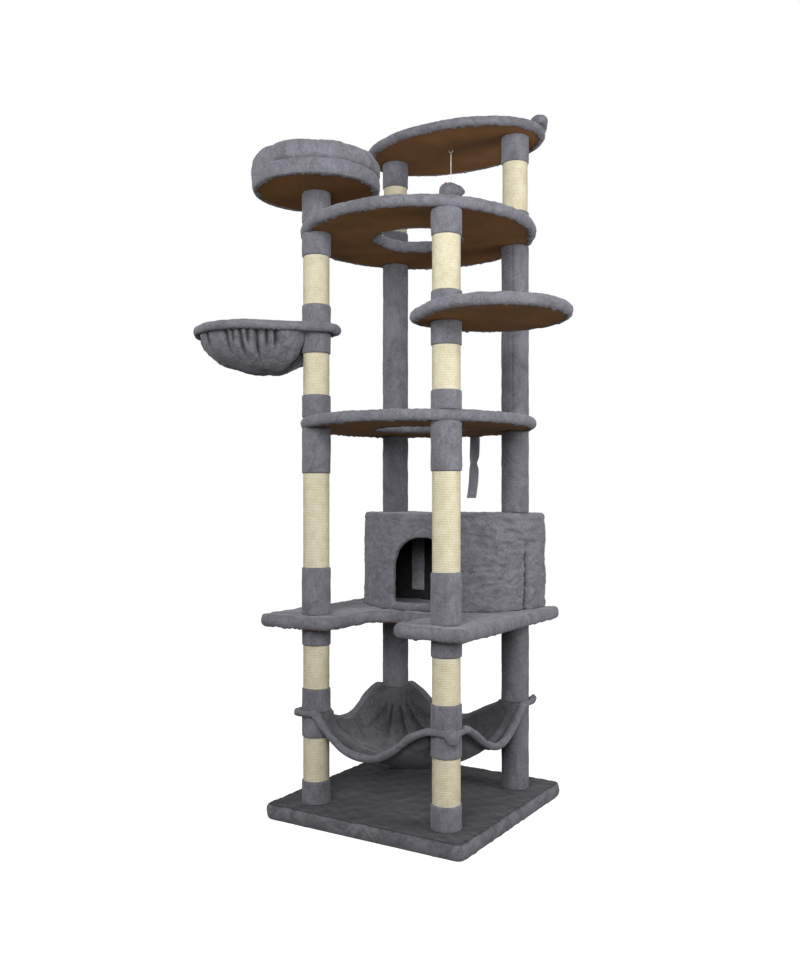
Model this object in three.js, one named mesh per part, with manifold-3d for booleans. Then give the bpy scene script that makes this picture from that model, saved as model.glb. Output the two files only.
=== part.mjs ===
// Cat tree: four plush and sisal posts that carry a base, a hammock, a condo on a notched
// platform, two round platforms with a climbing hole, a side perch, a hanging basket, a round
// bed and a top perch with a bolster.
// Units are millimetres. +X is to the right along the front edge, +Y to the back, +Z up.
// The origin is the middle of the base's underside.
import * as THREE from 'three';
import { mergeVertices } from 'three/addons/utils/BufferGeometryUtils.js';
import Module from 'manifold-3d';

const wasm = await Module();
wasm.setup();

// ---------------------------------------------------------------- driving dimensions
const GAP = 0.3; // between touching pieces

const POST_CENTRE = { x: 8.5, y: -14.7 }; // middle of the four posts
const POST_HALF_SPAN = 202; // from that middle to each post, along X and Y
const PLUSH_RADIUS = 39;
const SISAL_RADIUS = 35;
const CORE_RADIUS = 31; // cardboard tube under the rope
const CORE_INSIDE = 28;
const PLUG_HEIGHT = 20; // glued plug at each end of the tube
const STUD_RADIUS = 4;
const BORE_RADIUS = 4.6;
const STUD_GRIP = 15; // length of stud inside the next segment
const POST_SIDES = 12;

// Heights of the horizontal pieces: underside and top.
const BASE = { under: 0, top: 40 };
const HAMMOCK_JOINT = { under: 284, top: 288 };
const CONDO_DECK = { under: 518, top: 549 };
const CONDO_ROOF = { under: 800, top: 824 };
const MIDDLE = { under: 1057, top: 1083 };
const HOOP_JOINT = { under: 1321, top: 1322 };
const SIDE_PERCH = { under: 1304, top: 1330 };
const UPPER = { under: 1583, top: 1610 };
const BED = { under: 1694, top: 1731 };
const TOP_PERCH = { under: 1896, top: 1918 };

const PLUSH_EDGE = 8; // plush round a board's rim
const PLUSH_TOP = 6; // plush on a board's top

const BASE_SIZE = { x: 610, y: 618, corner: 28, shiftX: 0, shiftY: 0 };
const DECK_SIZE = { x: 634, y: 602, corner: 22, shiftX: -15, shiftY: 4 };
const NOTCH = { left: -101.5, right: 88.5, back: -55, corner: 45, mouth: 42 };
const DISC_RADIUS = 327;
const CLIMB_HOLE = { x: 13.5, y: -19.7, radius: 108 };

const CONDO = { x: -16, y: 255, radius: 280, back: 290, wall: 20 };
const DOOR = { x: 18.5, width: 185, sill: 578, apex: 756 };
const INNER_STRIP = { x: -158, width: 44, thick: 8, from: 580 };

const SIDE_PERCH_ROUND = { x: 332, y: -190, radius: 189, postEnd: 92 };
const BED_RADIUS = 174;
const BED_BOLSTER = { width: 62, height: 55 };
const TOP_OVAL = { x: 8.5, y: 190, halfX: 284, halfY: 185 };
const TOP_BOLSTER = { inset: 13, halfWidth: 24, height: 28 };

const BASKET = { x: -374, y: -253, radius: 160, tube: 13, z: 1322, bowl: 142, depth: 98 };
const HOOP_ROUND_POST = 55; // the hoop's centreline to the post's axis

const HAMMOCK = { half: 252, flatFrom: 0.76, thick: 8, edgeSag: 116, middleSag: 152, pullIn: 0.12 };

const TOY = { x: 8.5, y: 175, pivot: 1889, cord: 2.5, end: 1800 };
const MOUSE = { length: 84, radius: 28, ear: 9, forward: 4 };
const STRAP = { x: 15.5, y: 313, width: 34, thick: 2.4, bend: 1056, end: 867 };

// ---------------------------------------------------------------- materials
const finish = (color, roughness, metalness = 0) =>
  new THREE.MeshStandardMaterial({ color, roughness, metalness });
const PLUSH = finish(0x6b6970, 0.95);
const SISAL = finish(0xe3d7b4, 0.9);
const BOARD = finish(0x4a3423, 0.8);
const WEBBING = finish(0x76747a, 0.85);
const STEEL = finish(0xb9bbbf, 0.3, 1);
const CORD = finish(0xe8e4da, 0.8);

// ---------------------------------------------------------------- solids
const tree = new THREE.Group();

// One closed surface that shares its corner points and faces outwards.
function closed(geometry) {
  const bare = geometry.clone();
  bare.deleteAttribute('normal');
  bare.deleteAttribute('uv');
  const merged = mergeVertices(bare, 1e-3);
  const at = merged.attributes.position;
  const index = merged.index.array;
  const [a, b, c] = [new THREE.Vector3(), new THREE.Vector3(), new THREE.Vector3()];
  const faces = [];
  let volume = 0;
  for (let i = 0; i < index.length; i += 3) {
    const [p, q, r] = index.slice(i, i + 3);
    if (p === q || q === r || r === p) continue;
    volume += a.fromBufferAttribute(at, p).dot(
      b.fromBufferAttribute(at, q).cross(c.fromBufferAttribute(at, r)));
    faces.push(p, q, r);
  }
  if (volume < 0) faces.reverse();
  merged.setIndex(faces);
  return merged;
}

function toSolid(geometry) {
  const g = closed(geometry);
  return new wasm.Manifold(new wasm.Mesh({
    numProp: 3,
    vertProperties: new Float32Array(g.attributes.position.array),
    triVerts: new Uint32Array(g.index.array),
  }));
}

function toGeometry(solid) {
  const mesh = solid.getMesh();
  const g = new THREE.BufferGeometry();
  g.setAttribute('position', new THREE.BufferAttribute(new Float32Array(mesh.vertProperties), 3));
  g.setIndex(new THREE.BufferAttribute(new Uint32Array(mesh.triVerts), 1));
  return g;
}

function add(name, geometry, material) {
  const mesh = new THREE.Mesh(closed(geometry), material);
  mesh.name = name;
  tree.add(mesh);
}

const round = (x, y, radius, from, to, steps) =>
  Array.from({ length: steps + 1 }, (_, i) => {
    const angle = from + (to - from) * i / steps;
    return new THREE.Vector2(x + radius * Math.cos(angle), y + radius * Math.sin(angle));
  });

const circle = (x, y, radius, sides) => round(x, y, radius, 0, 2 * Math.PI, sides).slice(0, -1);

// A plate between two heights, with holes right through it.
function plate(outline, holes, under, top) {
  const shape = new THREE.Shape(outline);
  shape.holes = holes.map((points) => new THREE.Path(points));
  const g = new THREE.ExtrudeGeometry(shape, { depth: top - under, bevelEnabled: false });
  return g.translate(0, 0, under);
}

// Corners [x, y, radius] joined by straight edges, each rounded off.
function rounded(corners, steps = 5) {
  const shape = new THREE.Shape();
  corners.forEach(([x, y, radius], i) => {
    const towards = ([tx, ty]) => {
      const far = Math.hypot(tx - x, ty - y);
      return [x + (tx - x) * radius / far, y + (ty - y) * radius / far];
    };
    const from = towards(corners.at(i - 1));
    const to = towards(corners[(i + 1) % corners.length]);
    if (i === 0) shape.moveTo(...from);
    else shape.lineTo(...from);
    shape.quadraticCurveTo(x, y, ...to);
  });
  return shape.getPoints(steps);
}

// A ring of the given outline, turned about the Z axis through (x, y).
function turned(profile, sides, x, y) {
  const points = profile.map(([radius, z]) => new THREE.Vector2(radius, z));
  return new THREE.LatheGeometry(points, sides).rotateX(Math.PI / 2).translate(x, y, 0);
}

// A surface made of a three.js geometry whose points are moved by a formula.
function reshaped(geometry, place) {
  const at = geometry.attributes.position;
  for (let i = 0; i < at.count; i++) {
    at.setXYZ(i, ...place(at.getX(i), at.getY(i), at.getZ(i)));
  }
  return geometry;
}

// ---------------------------------------------------------------- posts
const postAt = (right, back) => ({
  x: POST_CENTRE.x + (right ? 1 : -1) * POST_HALF_SPAN,
  y: POST_CENTRE.y + (back ? 1 : -1) * POST_HALF_SPAN,
});
const FRONT_LEFT = postAt(false, false);
const FRONT_RIGHT = postAt(true, false);
const BACK_LEFT = postAt(false, true);
const BACK_RIGHT = postAt(true, true);
const POSTS = [FRONT_LEFT, FRONT_RIGHT, BACK_RIGHT, BACK_LEFT];

// One post segment: a plush-covered hollow tube with a bore below and a stud on top.
// A stretch wound with sisal is recessed, and the rope is a sleeve of its own.
function segment(name, post, under, top, stud, rope) {
  const low = under + GAP;
  const high = top - GAP;
  const recess = rope
    ? [[PLUSH_RADIUS, rope[0]], [CORE_RADIUS, rope[0]], [CORE_RADIUS, rope[1]], [PLUSH_RADIUS, rope[1]]]
    : [];
  add(name, turned([
    [0, high - PLUG_HEIGHT],
    [CORE_INSIDE, high - PLUG_HEIGHT],
    [CORE_INSIDE, low + PLUG_HEIGHT],
    [BORE_RADIUS, low + PLUG_HEIGHT],
    [BORE_RADIUS, low],
    [PLUSH_RADIUS, low],
    ...recess,
    [PLUSH_RADIUS, high],
    [STUD_RADIUS, high],
    [STUD_RADIUS, high + stud],
    [0, high + stud],
  ], POST_SIDES, post.x, post.y), PLUSH);
  if (!rope) return;
  add(name.replace('post', 'sisal'), turned([
    [CORE_RADIUS + GAP, rope[0] + GAP],
    [SISAL_RADIUS, rope[0] + GAP],
    [SISAL_RADIUS, rope[1] - GAP],
    [CORE_RADIUS + GAP, rope[1] - GAP],
    [CORE_RADIUS + GAP, rope[0] + GAP],
  ], POST_SIDES, post.x, post.y), SISAL);
}

const through = (level) => level.top - level.under + 2 * GAP + STUD_GRIP;
const intoBoard = (level) => level.top - PLUSH_TOP - level.under - 1;

function post(name, place, segments) {
  segments.forEach(([under, top, stud, rope], i) => {
    segment(`post_${name}_${i + 1}`, place, under, top, stud, rope);
  });
}

// The rope's stretches on each post, from the floor up.
const LEFT_ROPES = [[102, 220], [351, 467], [678, 932], [1144, 1256], [1388, 1520]];
const RIGHT_ROPES = [[104, 220], [353, 469], [680, 931], [1133, 1244], [1380, 1517]];
const TOP_ROPE = [1680, 1819];

post('front_left', FRONT_LEFT, [
  [BASE.top, HAMMOCK_JOINT.under, through(HAMMOCK_JOINT), LEFT_ROPES[0]],
  [HAMMOCK_JOINT.top, CONDO_DECK.under, through(CONDO_DECK), LEFT_ROPES[1]],
  [CONDO_DECK.top, MIDDLE.under, through(MIDDLE), LEFT_ROPES[2]],
  [MIDDLE.top, HOOP_JOINT.under, through(HOOP_JOINT), LEFT_ROPES[3]],
  [HOOP_JOINT.top, UPPER.under, through(UPPER), LEFT_ROPES[4]],
  [UPPER.top, BED.under, intoBoard(BED)],
]);
post('front_right', FRONT_RIGHT, [
  [BASE.top, HAMMOCK_JOINT.under, through(HAMMOCK_JOINT), RIGHT_ROPES[0]],
  [HAMMOCK_JOINT.top, CONDO_DECK.under, through(CONDO_DECK), RIGHT_ROPES[1]],
  [CONDO_DECK.top, MIDDLE.under, through(MIDDLE), RIGHT_ROPES[2]],
  [MIDDLE.top, SIDE_PERCH.under, through(SIDE_PERCH), RIGHT_ROPES[3]],
  [SIDE_PERCH.top, UPPER.under, intoBoard(UPPER), RIGHT_ROPES[4]],
]);
[['back_left', BACK_LEFT], ['back_right', BACK_RIGHT]].forEach(([name, place]) => {
  post(name, place, [
    [BASE.top, HAMMOCK_JOINT.under, through(HAMMOCK_JOINT)],
    [HAMMOCK_JOINT.top, CONDO_DECK.under, intoBoard(CONDO_DECK)],
    [CONDO_ROOF.top, MIDDLE.under, through(MIDDLE)],
    [MIDDLE.top, UPPER.under, through(UPPER)],
    [UPPER.top, TOP_PERCH.under, intoBoard(TOP_PERCH), TOP_ROPE],
  ]);
});

// ---------------------------------------------------------------- boards and their plush
const boltHole = ({ x, y }) => circle(x, y, BORE_RADIUS, 8);

// A board in a plush cap. outline(inset) is its plan, hole(inset) the climbing hole's.
// bolted lists the posts whose studs pass right through, hidden those that end in the board.
function deck(name, level, outline, { bolted = [], hidden = [], hole, cutCover, studs = [] }) {
  const holes = (inset) => (hole ? [hole(inset)] : []);
  const ceiling = level.top - PLUSH_TOP;
  let board = toSolid(plate(outline(PLUSH_EDGE + GAP),
    [...holes(PLUSH_EDGE + GAP), ...[...bolted, ...hidden].map(boltHole)],
    level.under, ceiling - GAP));
  studs.forEach((place) => {
    board = board.add(toSolid(plate(circle(place.x, place.y, STUD_RADIUS, 8), [],
      level.under + 1, level.top + GAP + STUD_GRIP)));
  });
  let cover = toSolid(plate(outline(0), [...holes(0), ...[...bolted, ...studs].map(boltHole)],
    level.under, level.top));
  cover = cover.subtract(toSolid(plate(outline(PLUSH_EDGE), holes(PLUSH_EDGE),
    level.under - 1, ceiling)));
  if (cutCover) cover = cover.subtract(toSolid(cutCover));
  add(`${name}_board`, toGeometry(board), BOARD);
  add(`${name}_cover`, toGeometry(cover), PLUSH);
}

// The sides of a rectangle of the given size, moved in by inset.
const sides = (size, inset) => ({
  left: size.shiftX - size.x / 2 + inset,
  right: size.shiftX + size.x / 2 - inset,
  front: size.shiftY - size.y / 2 + inset,
  back: size.shiftY + size.y / 2 - inset,
});

function square(inset) {
  const { left, right, front, back } = sides(BASE_SIZE, inset);
  const radius = BASE_SIZE.corner - inset;
  return rounded([
    [left, front, radius], [right, front, radius], [right, back, radius], [left, back, radius],
  ]);
}

// The condo's platform: a square with rounded corners and a climbing notch in its front.
function notched(inset) {
  const { left, right, front, back } = sides(DECK_SIZE, inset);
  const [notchLeft, notchRight] = [NOTCH.left - inset, NOTCH.right + inset];
  const outer = DECK_SIZE.corner - inset;
  const mouth = NOTCH.mouth - inset;
  const inner = NOTCH.corner + inset;
  return rounded([
    [left, front, outer], [notchLeft, front, mouth], [notchLeft, NOTCH.back + inset, inner],
    [notchRight, NOTCH.back + inset, inner], [notchRight, front, mouth], [right, front, outer],
    [right, back, outer], [left, back, outer],
  ]);
}

const disc = (inset) => circle(POST_CENTRE.x, POST_CENTRE.y, DISC_RADIUS - inset, 36);
const climbHole = (inset) => circle(CLIMB_HOLE.x, CLIMB_HOLE.y, CLIMB_HOLE.radius + inset, 20);

// A round end of each radius about two centres, joined by straight tangents.
function egg(big, small, steps) {
  const axis = Math.atan2(big.y - small.y, big.x - small.x);
  const apart = Math.hypot(big.x - small.x, big.y - small.y);
  const tangent = Math.PI / 2 + Math.asin((big.radius - small.radius) / apart);
  return [
    ...round(big.x, big.y, big.radius, axis - tangent, axis + tangent, steps),
    ...round(small.x, small.y, small.radius, axis + tangent, axis + 2 * Math.PI - tangent, steps / 3),
  ];
}

const oval = (inset, steps = 32) =>
  circle(0, 0, 1, steps).map(({ x, y }) => new THREE.Vector2(
    TOP_OVAL.x + x * (TOP_OVAL.halfX - inset), TOP_OVAL.y + y * (TOP_OVAL.halfY - inset)));

deck('base', BASE, square, { studs: POSTS });
deck('condo_platform', CONDO_DECK, notched, {
  bolted: [FRONT_LEFT, FRONT_RIGHT], hidden: [BACK_LEFT, BACK_RIGHT],
});
// The strap's screw passes through the plush on the middle platform's back edge.
const screwHole = new THREE.CylinderGeometry(2.6, 2.6, 20, 8)
  .translate(STRAP.x, STRAP.y - 5, MIDDLE.under + 13);
deck('middle_platform', MIDDLE, disc, { bolted: POSTS, hole: climbHole, cutCover: screwHole });
deck('upper_platform', UPPER, disc, {
  bolted: [FRONT_LEFT, BACK_LEFT, BACK_RIGHT], hidden: [FRONT_RIGHT], hole: climbHole,
});
deck('top_perch', TOP_PERCH, oval, { hidden: [BACK_LEFT, BACK_RIGHT] });
deck('side_perch', SIDE_PERCH, (inset) => egg(
  { ...SIDE_PERCH_ROUND, radius: SIDE_PERCH_ROUND.radius - inset },
  { ...FRONT_RIGHT, radius: SIDE_PERCH_ROUND.postEnd - inset }, 24), { bolted: [FRONT_RIGHT] });
deck('bed', BED, (inset) => circle(FRONT_LEFT.x, FRONT_LEFT.y, BED_RADIUS - inset, 28), {
  hidden: [FRONT_LEFT],
});

// ---------------------------------------------------------------- condo
function condoPlan(inset) {
  const radius = CONDO.radius - inset;
  const back = CONDO.back - inset;
  return [
    ...round(CONDO.x, CONDO.y, radius, Math.PI, 2 * Math.PI, 22),
    new THREE.Vector2(CONDO.x + radius, back),
    new THREE.Vector2(CONDO.x - radius, back),
  ];
}

const springLine = DOOR.apex - DOOR.width / 2;
const doorway = plate([
  new THREE.Vector2(DOOR.x - DOOR.width / 2, DOOR.sill),
  new THREE.Vector2(DOOR.x + DOOR.width / 2, DOOR.sill),
  ...round(DOOR.x, springLine, DOOR.width / 2, 0, Math.PI, 12),
], [], -80, 80).rotateX(Math.PI / 2);
const shell = plate(condoPlan(0), [condoPlan(CONDO.wall).reverse()],
  CONDO_DECK.top + GAP, CONDO_ROOF.under - GAP);
add('condo_wall', toGeometry(toSolid(shell).subtract(toSolid(doorway))), PLUSH);

let roof = toSolid(plate(condoPlan(0), [], CONDO_ROOF.under, CONDO_ROOF.top));
[BACK_LEFT, BACK_RIGHT].forEach(({ x, y }) => {
  roof = roof.add(toSolid(plate(circle(x, y, STUD_RADIUS, 8), [],
    CONDO_ROOF.under + 1, CONDO_ROOF.top + GAP + STUD_GRIP)));
});
add('condo_roof', toGeometry(roof), PLUSH);

const stripHeight = CONDO_ROOF.under - GAP - INNER_STRIP.from;
add('condo_inner_strip', new THREE.BoxGeometry(INNER_STRIP.width, INNER_STRIP.thick, stripHeight)
  .translate(INNER_STRIP.x, CONDO.back - CONDO.wall - GAP - INNER_STRIP.thick / 2,
    INNER_STRIP.from + stripHeight / 2), PLUSH);

// ---------------------------------------------------------------- bolsters
// The bed's bolster: a rounded ring on the rim of the round cushion board.
const bolsterSection = circle(0, 0, 1, 12).map(({ x, y }) => [
  BED_RADIUS - BED_BOLSTER.width / 2 + x * BED_BOLSTER.width / 2,
  BED.top + GAP + (1 + y) * BED_BOLSTER.height / 2,
]);
add('bed_bolster', turned([...bolsterSection, bolsterSection[0]], 28,
  FRONT_LEFT.x, FRONT_LEFT.y), PLUSH);

// The top perch's bolster: a half-round roll along the back half of its rim.
const rollPath = new THREE.CatmullRomCurve3(Array.from({ length: 17 }, (_, i) => {
  const angle = Math.PI * (i / 16 * 1.06 - 0.03);
  return new THREE.Vector3(
    TOP_OVAL.x + Math.cos(angle) * (TOP_OVAL.halfX - TOP_BOLSTER.inset),
    TOP_OVAL.y + Math.sin(angle) * (TOP_OVAL.halfY - TOP_BOLSTER.inset),
    TOP_PERCH.top + GAP + TOP_BOLSTER.height / 2);
}));
const rollSection = new THREE.Shape(circle(0, 0, 1, 10).map(({ x, y }) =>
  new THREE.Vector2(x * TOP_BOLSTER.height / 2, y * TOP_BOLSTER.halfWidth)));
add('top_perch_bolster', new THREE.ExtrudeGeometry(rollSection,
  { steps: 22, extrudePath: rollPath, bevelEnabled: false }), PLUSH);

// ---------------------------------------------------------------- basket
// The hoop goes round the post, narrows, and opens into the round bowl.
const bowlAngle = Math.atan2(BASKET.y - FRONT_LEFT.y, BASKET.x - FRONT_LEFT.x);
const around = (centre, radius, degrees) => {
  const angle = bowlAngle + THREE.MathUtils.degToRad(degrees);
  return new THREE.Vector3(
    centre.x + radius * Math.cos(angle), centre.y + radius * Math.sin(angle), BASKET.z);
};
const hoopCurve = new THREE.CatmullRomCurve3([
  ...[110, 145, 180, 215, 250].map((a) => around(FRONT_LEFT, HOOP_ROUND_POST, a)),
  ...[-142, -106, -71, -35, 0, 35, 71, 106, 142].map((a) => around(BASKET, BASKET.radius, a)),
], true);
const HOOP_STEPS = 44;
const hoop = reshaped(new THREE.TorusGeometry(100, BASKET.tube, 8, HOOP_STEPS), (x, y, z) => {
  const turn = (Math.atan2(y, x) / (2 * Math.PI) + 1) % 1;
  const out = Math.hypot(x, y) - 100;
  const middle = hoopCurve.getPoint(turn);
  const along = hoopCurve.getTangent(turn);
  return [middle.x + along.y * out, middle.y - along.x * out, middle.z + z];
});
add('basket_hoop', hoop, PLUSH);

const POUCH_WALL = 6;
const pouchTop = BASKET.z - BASKET.tube - 1;
const bowlLine = (radius, depth) => Array.from({ length: 7 }, (_, i) => {
  const angle = Math.PI / 2 * i / 6;
  return [radius * Math.cos(angle), pouchTop - depth * Math.sin(angle)];
});
add('basket_pouch', turned([
  ...bowlLine(BASKET.bowl, BASKET.depth).reverse(),
  ...bowlLine(BASKET.bowl - POUCH_WALL, BASKET.depth - POUCH_WALL),
], 24, BASKET.x, BASKET.y), PLUSH);

// ---------------------------------------------------------------- hammock
// A square sheet hung by its corners, each corner clamped in the joint of a post.
const hang = (across) => Math.max(0, 1 - (across / HAMMOCK.flatFrom) ** 2);
const cloth = reshaped(new THREE.BoxGeometry(2, 2, HAMMOCK.thick, 12, 12, 1), (u, v, z) => {
  const [a, b] = [hang(u), hang(v)];
  const sag = HAMMOCK.edgeSag * (a + b) - (2 * HAMMOCK.edgeSag - HAMMOCK.middleSag) * a * b;
  return [
    POST_CENTRE.x + u * HAMMOCK.half * (1 - HAMMOCK.pullIn * b),
    POST_CENTRE.y + v * HAMMOCK.half * (1 - HAMMOCK.pullIn * a),
    (HAMMOCK_JOINT.under + HAMMOCK_JOINT.top) / 2 - sag + z,
  ];
});
let hammock = toSolid(cloth);
POSTS.forEach(({ x, y }) => {
  hammock = hammock
    .add(toSolid(plate(circle(x, y, PLUSH_RADIUS + 14, 16), [],
      HAMMOCK_JOINT.under, HAMMOCK_JOINT.top)))
    .subtract(toSolid(plate(circle(x, y, PLUSH_RADIUS + 1, 16), [], 100, HAMMOCK_JOINT.under)))
    .subtract(toSolid(plate(circle(x, y, PLUSH_RADIUS + 1, 16), [], HAMMOCK_JOINT.top, 400)))
    .subtract(toSolid(plate(circle(x, y, BORE_RADIUS, 8), [], 270, 300)));
});
add('hammock', toGeometry(hammock), PLUSH);

// ---------------------------------------------------------------- toy
const wireCircle = (radius, sides) => new THREE.Shape(circle(0, 0, radius, sides));
const STAPLE = { half: 6, wire: 1, bend: 2 };
const stapleTop = TOP_PERCH.under - GAP;
const stapleBar = TOY.pivot + GAP + STAPLE.wire;
const staplePath = new THREE.CatmullRomCurve3([
  [-STAPLE.half, stapleTop], [-STAPLE.half, stapleBar + STAPLE.bend],
  [-STAPLE.half + STAPLE.bend, stapleBar], [STAPLE.half - STAPLE.bend, stapleBar],
  [STAPLE.half, stapleBar + STAPLE.bend], [STAPLE.half, stapleTop],
].map(([x, z]) => new THREE.Vector3(TOY.x + x, TOY.y, z)));
add('toy_eye', new THREE.ExtrudeGeometry(wireCircle(STAPLE.wire, 6),
  { steps: 16, extrudePath: staplePath, bevelEnabled: false }), STEEL);

// The string narrows to the point that it swings from, which leaves the staple clear.
const STRING_POINT = 2.4;
add('toy_string', turned([
  [0, TOY.end],
  [TOY.cord / 2, TOY.end],
  [TOY.cord / 2, TOY.pivot - GAP - STRING_POINT],
  [0, TOY.pivot - GAP],
], 8, TOY.x, TOY.y), CORD);

// The mouse lies along X: a drop-shaped body with two round ears, hung by its back.
const mouseLine = [[0, -0.5], [0.5, -0.46], [0.88, -0.3], [1, -0.08], [0.86, 0.16], [0.52, 0.36], [0, 0.5]];
const body = new THREE.LatheGeometry(mouseLine.map(([r, along]) =>
  new THREE.Vector2(r * MOUSE.radius, along * MOUSE.length)), 14)
  .rotateZ(Math.PI / 2).translate(TOY.x + MOUSE.forward, TOY.y, TOY.end - GAP - MOUSE.radius);
let mouse = toSolid(body);
[-1, 1].forEach((side) => {
  const ear = new THREE.CylinderGeometry(MOUSE.ear, MOUSE.ear, 3, 12).rotateZ(Math.PI / 2)
    .translate(TOY.x - 15, TOY.y + side * 16, TOY.end - GAP - 13);
  mouse = mouse.add(toSolid(ear));
});
add('toy_mouse', toGeometry(mouse), PLUSH);

// ---------------------------------------------------------------- wall strap
const strapPiece = (under, top) =>
  new THREE.BoxGeometry(STRAP.width, STRAP.thick, top - under)
    .translate(STRAP.x, STRAP.y + STRAP.thick / 2, (under + top) / 2);
const alongY = (radius, from, to, z, sides = 8) =>
  new THREE.CylinderGeometry(radius, radius, to - from, sides)
    .translate(STRAP.x, (from + to) / 2, z);
const screwZ = MIDDLE.under + 13;
add('strap_anchor', toGeometry(toSolid(strapPiece(STRAP.bend + GAP, MIDDLE.top - 1))
  .add(toSolid(alongY(7, STRAP.y + 1, STRAP.y + STRAP.thick + 3, screwZ, 12)))
  .add(toSolid(alongY(2, STRAP.y - 7.5, STRAP.y + 2, screwZ)))), WEBBING);
add('wall_strap', toGeometry(toSolid(strapPiece(STRAP.end, STRAP.bend))
  .subtract(toSolid(alongY(5, STRAP.y - 5, STRAP.y + 8, STRAP.end + 16, 12)))), WEBBING);

export default tree;
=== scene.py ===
"""Looks of the cat tree: plush, sisal, board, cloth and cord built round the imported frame.

Lengths are metres in the frame's axes (X to the right, Y to the back, Z up), unless a comment
says mm.
"""

import math

import bmesh
import bpy
import numpy as np
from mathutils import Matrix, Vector
from mathutils.geometry import delaunay_2d_cdt


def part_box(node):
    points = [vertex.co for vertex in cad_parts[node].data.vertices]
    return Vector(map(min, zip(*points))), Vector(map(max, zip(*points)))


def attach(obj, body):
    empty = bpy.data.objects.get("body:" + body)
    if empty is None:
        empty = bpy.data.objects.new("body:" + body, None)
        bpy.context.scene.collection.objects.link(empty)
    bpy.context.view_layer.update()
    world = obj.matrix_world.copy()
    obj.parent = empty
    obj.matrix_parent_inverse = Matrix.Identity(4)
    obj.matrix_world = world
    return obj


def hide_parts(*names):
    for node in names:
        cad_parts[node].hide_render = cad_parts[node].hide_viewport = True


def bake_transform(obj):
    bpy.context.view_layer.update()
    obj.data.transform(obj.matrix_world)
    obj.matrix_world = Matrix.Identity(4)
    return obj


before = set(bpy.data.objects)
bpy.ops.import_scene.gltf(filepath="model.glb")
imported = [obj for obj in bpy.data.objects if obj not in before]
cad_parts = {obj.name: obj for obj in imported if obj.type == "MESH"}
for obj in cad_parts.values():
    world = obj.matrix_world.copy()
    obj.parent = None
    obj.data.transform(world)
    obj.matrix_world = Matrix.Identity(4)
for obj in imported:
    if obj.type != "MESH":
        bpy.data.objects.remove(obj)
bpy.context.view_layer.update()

MM = 0.001
TURN = 2 * math.pi

# ------------------------------------------------------------------ driving values
CAMERA_PLACE = (1.348, -2.2635, 0.855)
CAMERA_TURN = math.radians(31.89)
CAMERA_LENS = 34.57
CAMERA_SHIFT = 0.0137

# The studio's lights: name, place, what each points at, its two sides and its watts.
LIGHTS = [("key", (1.0, -2.3, 1.75), (0, 0, 1.95), (1.8, 1.5), 96),
          ("right", (2.3, 0.3, 1.35), (0, 0, 1.3), (1.2, 1.6), 44),
          ("left", (-2.2, -1.0, 1.9), (0, 0, 1.3), (1.2, 1.2), 20),
          ("overhead", (0, -0.6, 4.4), (0, -0.6, 0), (5, 5), 36),
          ("back", (-0.4, 2.7, 2.2), (0, 0, 1.2), (2.0, 1.6), 24)]
AMBIENT = 0.12
FLOOR_GLOW = 0.975  # how bright the floor looks by itself, so that it meets the white backdrop
PILE = 1.6 * MM  # how far the plush surface swells and dips
SHEEN = (205, 204, 212)
ROPE_PITCH = 4.1 * MM
SEAM_IN_VIEW = math.radians(-70)  # where one front post's seam can be seen in the photo
POST_CENTRE = (0.0085, -0.0147)
POST_FRONT_LEFT = (-0.1935, -0.2167)
DOOR = {"x": 0.0185, "width": 0.185, "sill": 0.570, "apex": 0.756}
CONDO = {"x": -0.016, "y": 0.255, "radius": 0.28, "back": 0.29, "wall": 0.02,
         "floor": 0.5495, "ceiling": 0.7997, "roof": 0.824, "seam": 343}
# The bed bolster's outline in mm: (inset from its outer radius, height over its seat).
BOLSTER_SECTION = [(4, 2.5), (1, 10), (1, 24), (5, 37), (13, 48), (26, 53), (40, 52), (51, 43),
                   (56, 28), (54, 12), (46, 2), (31, 0.5), (15, 0.5), (9, 0.6)]
# The seams across the bed bolster: (degrees round it, depth).
BOLSTER_SEAMS = [(262, 3.5 * MM), (76, 3 * MM)]
TOP = {"x": 0.0085, "y": 0.19, "half_x": 0.284, "half_y": 0.185, "inset": 0.013}
DECK_DENTS = {"condo_platform": 0.9, "middle_platform": 0.45, "upper_platform": 0.45,
              "side_perch": 0.6, "top_perch": 0.35, "bed": 0.35}
BASKET = {"centre": (-0.374, -0.253), "radius": 0.16, "z": 1.322, "round_post": 0.055,
          "depth": 0.104, "lean": 0.043, "flat": (0.40, 0.34), "clear": 0.0425,
          "ripple": 7 * MM}
# The pouch's gathers: (degrees round the bowl, depth in mm, share of the way down to the middle).
PLEATS = [(-150, 9, 0.3), (-128, 10, 0.35), (-109, 9, 0.35), (-85, 14, 0.5), (-76, 9, 0.3),
          (-68, 18, 0.6), (-60, 11, 0.35), (-52, 20, 0.72), (-41, 13, 0.4), (-31, 14, 0.4),
          (45, 12, 0.4), (62, 14, 0.5), (80, 11, 0.4), (103, 14, 0.5), (131, 10, 0.4), (165, 8, 0.3)]
HAMMOCK = {"half": 0.295, "hole": 0.245, "span": 0.202, "clamp": 0.047, "z": 0.286,
           "edge_sag": 0.09, "middle_sag": 0.152, "hem": 0.0225, "taut": 0.965, "pull_in": 0.014,
           "round": 0.024}
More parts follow.
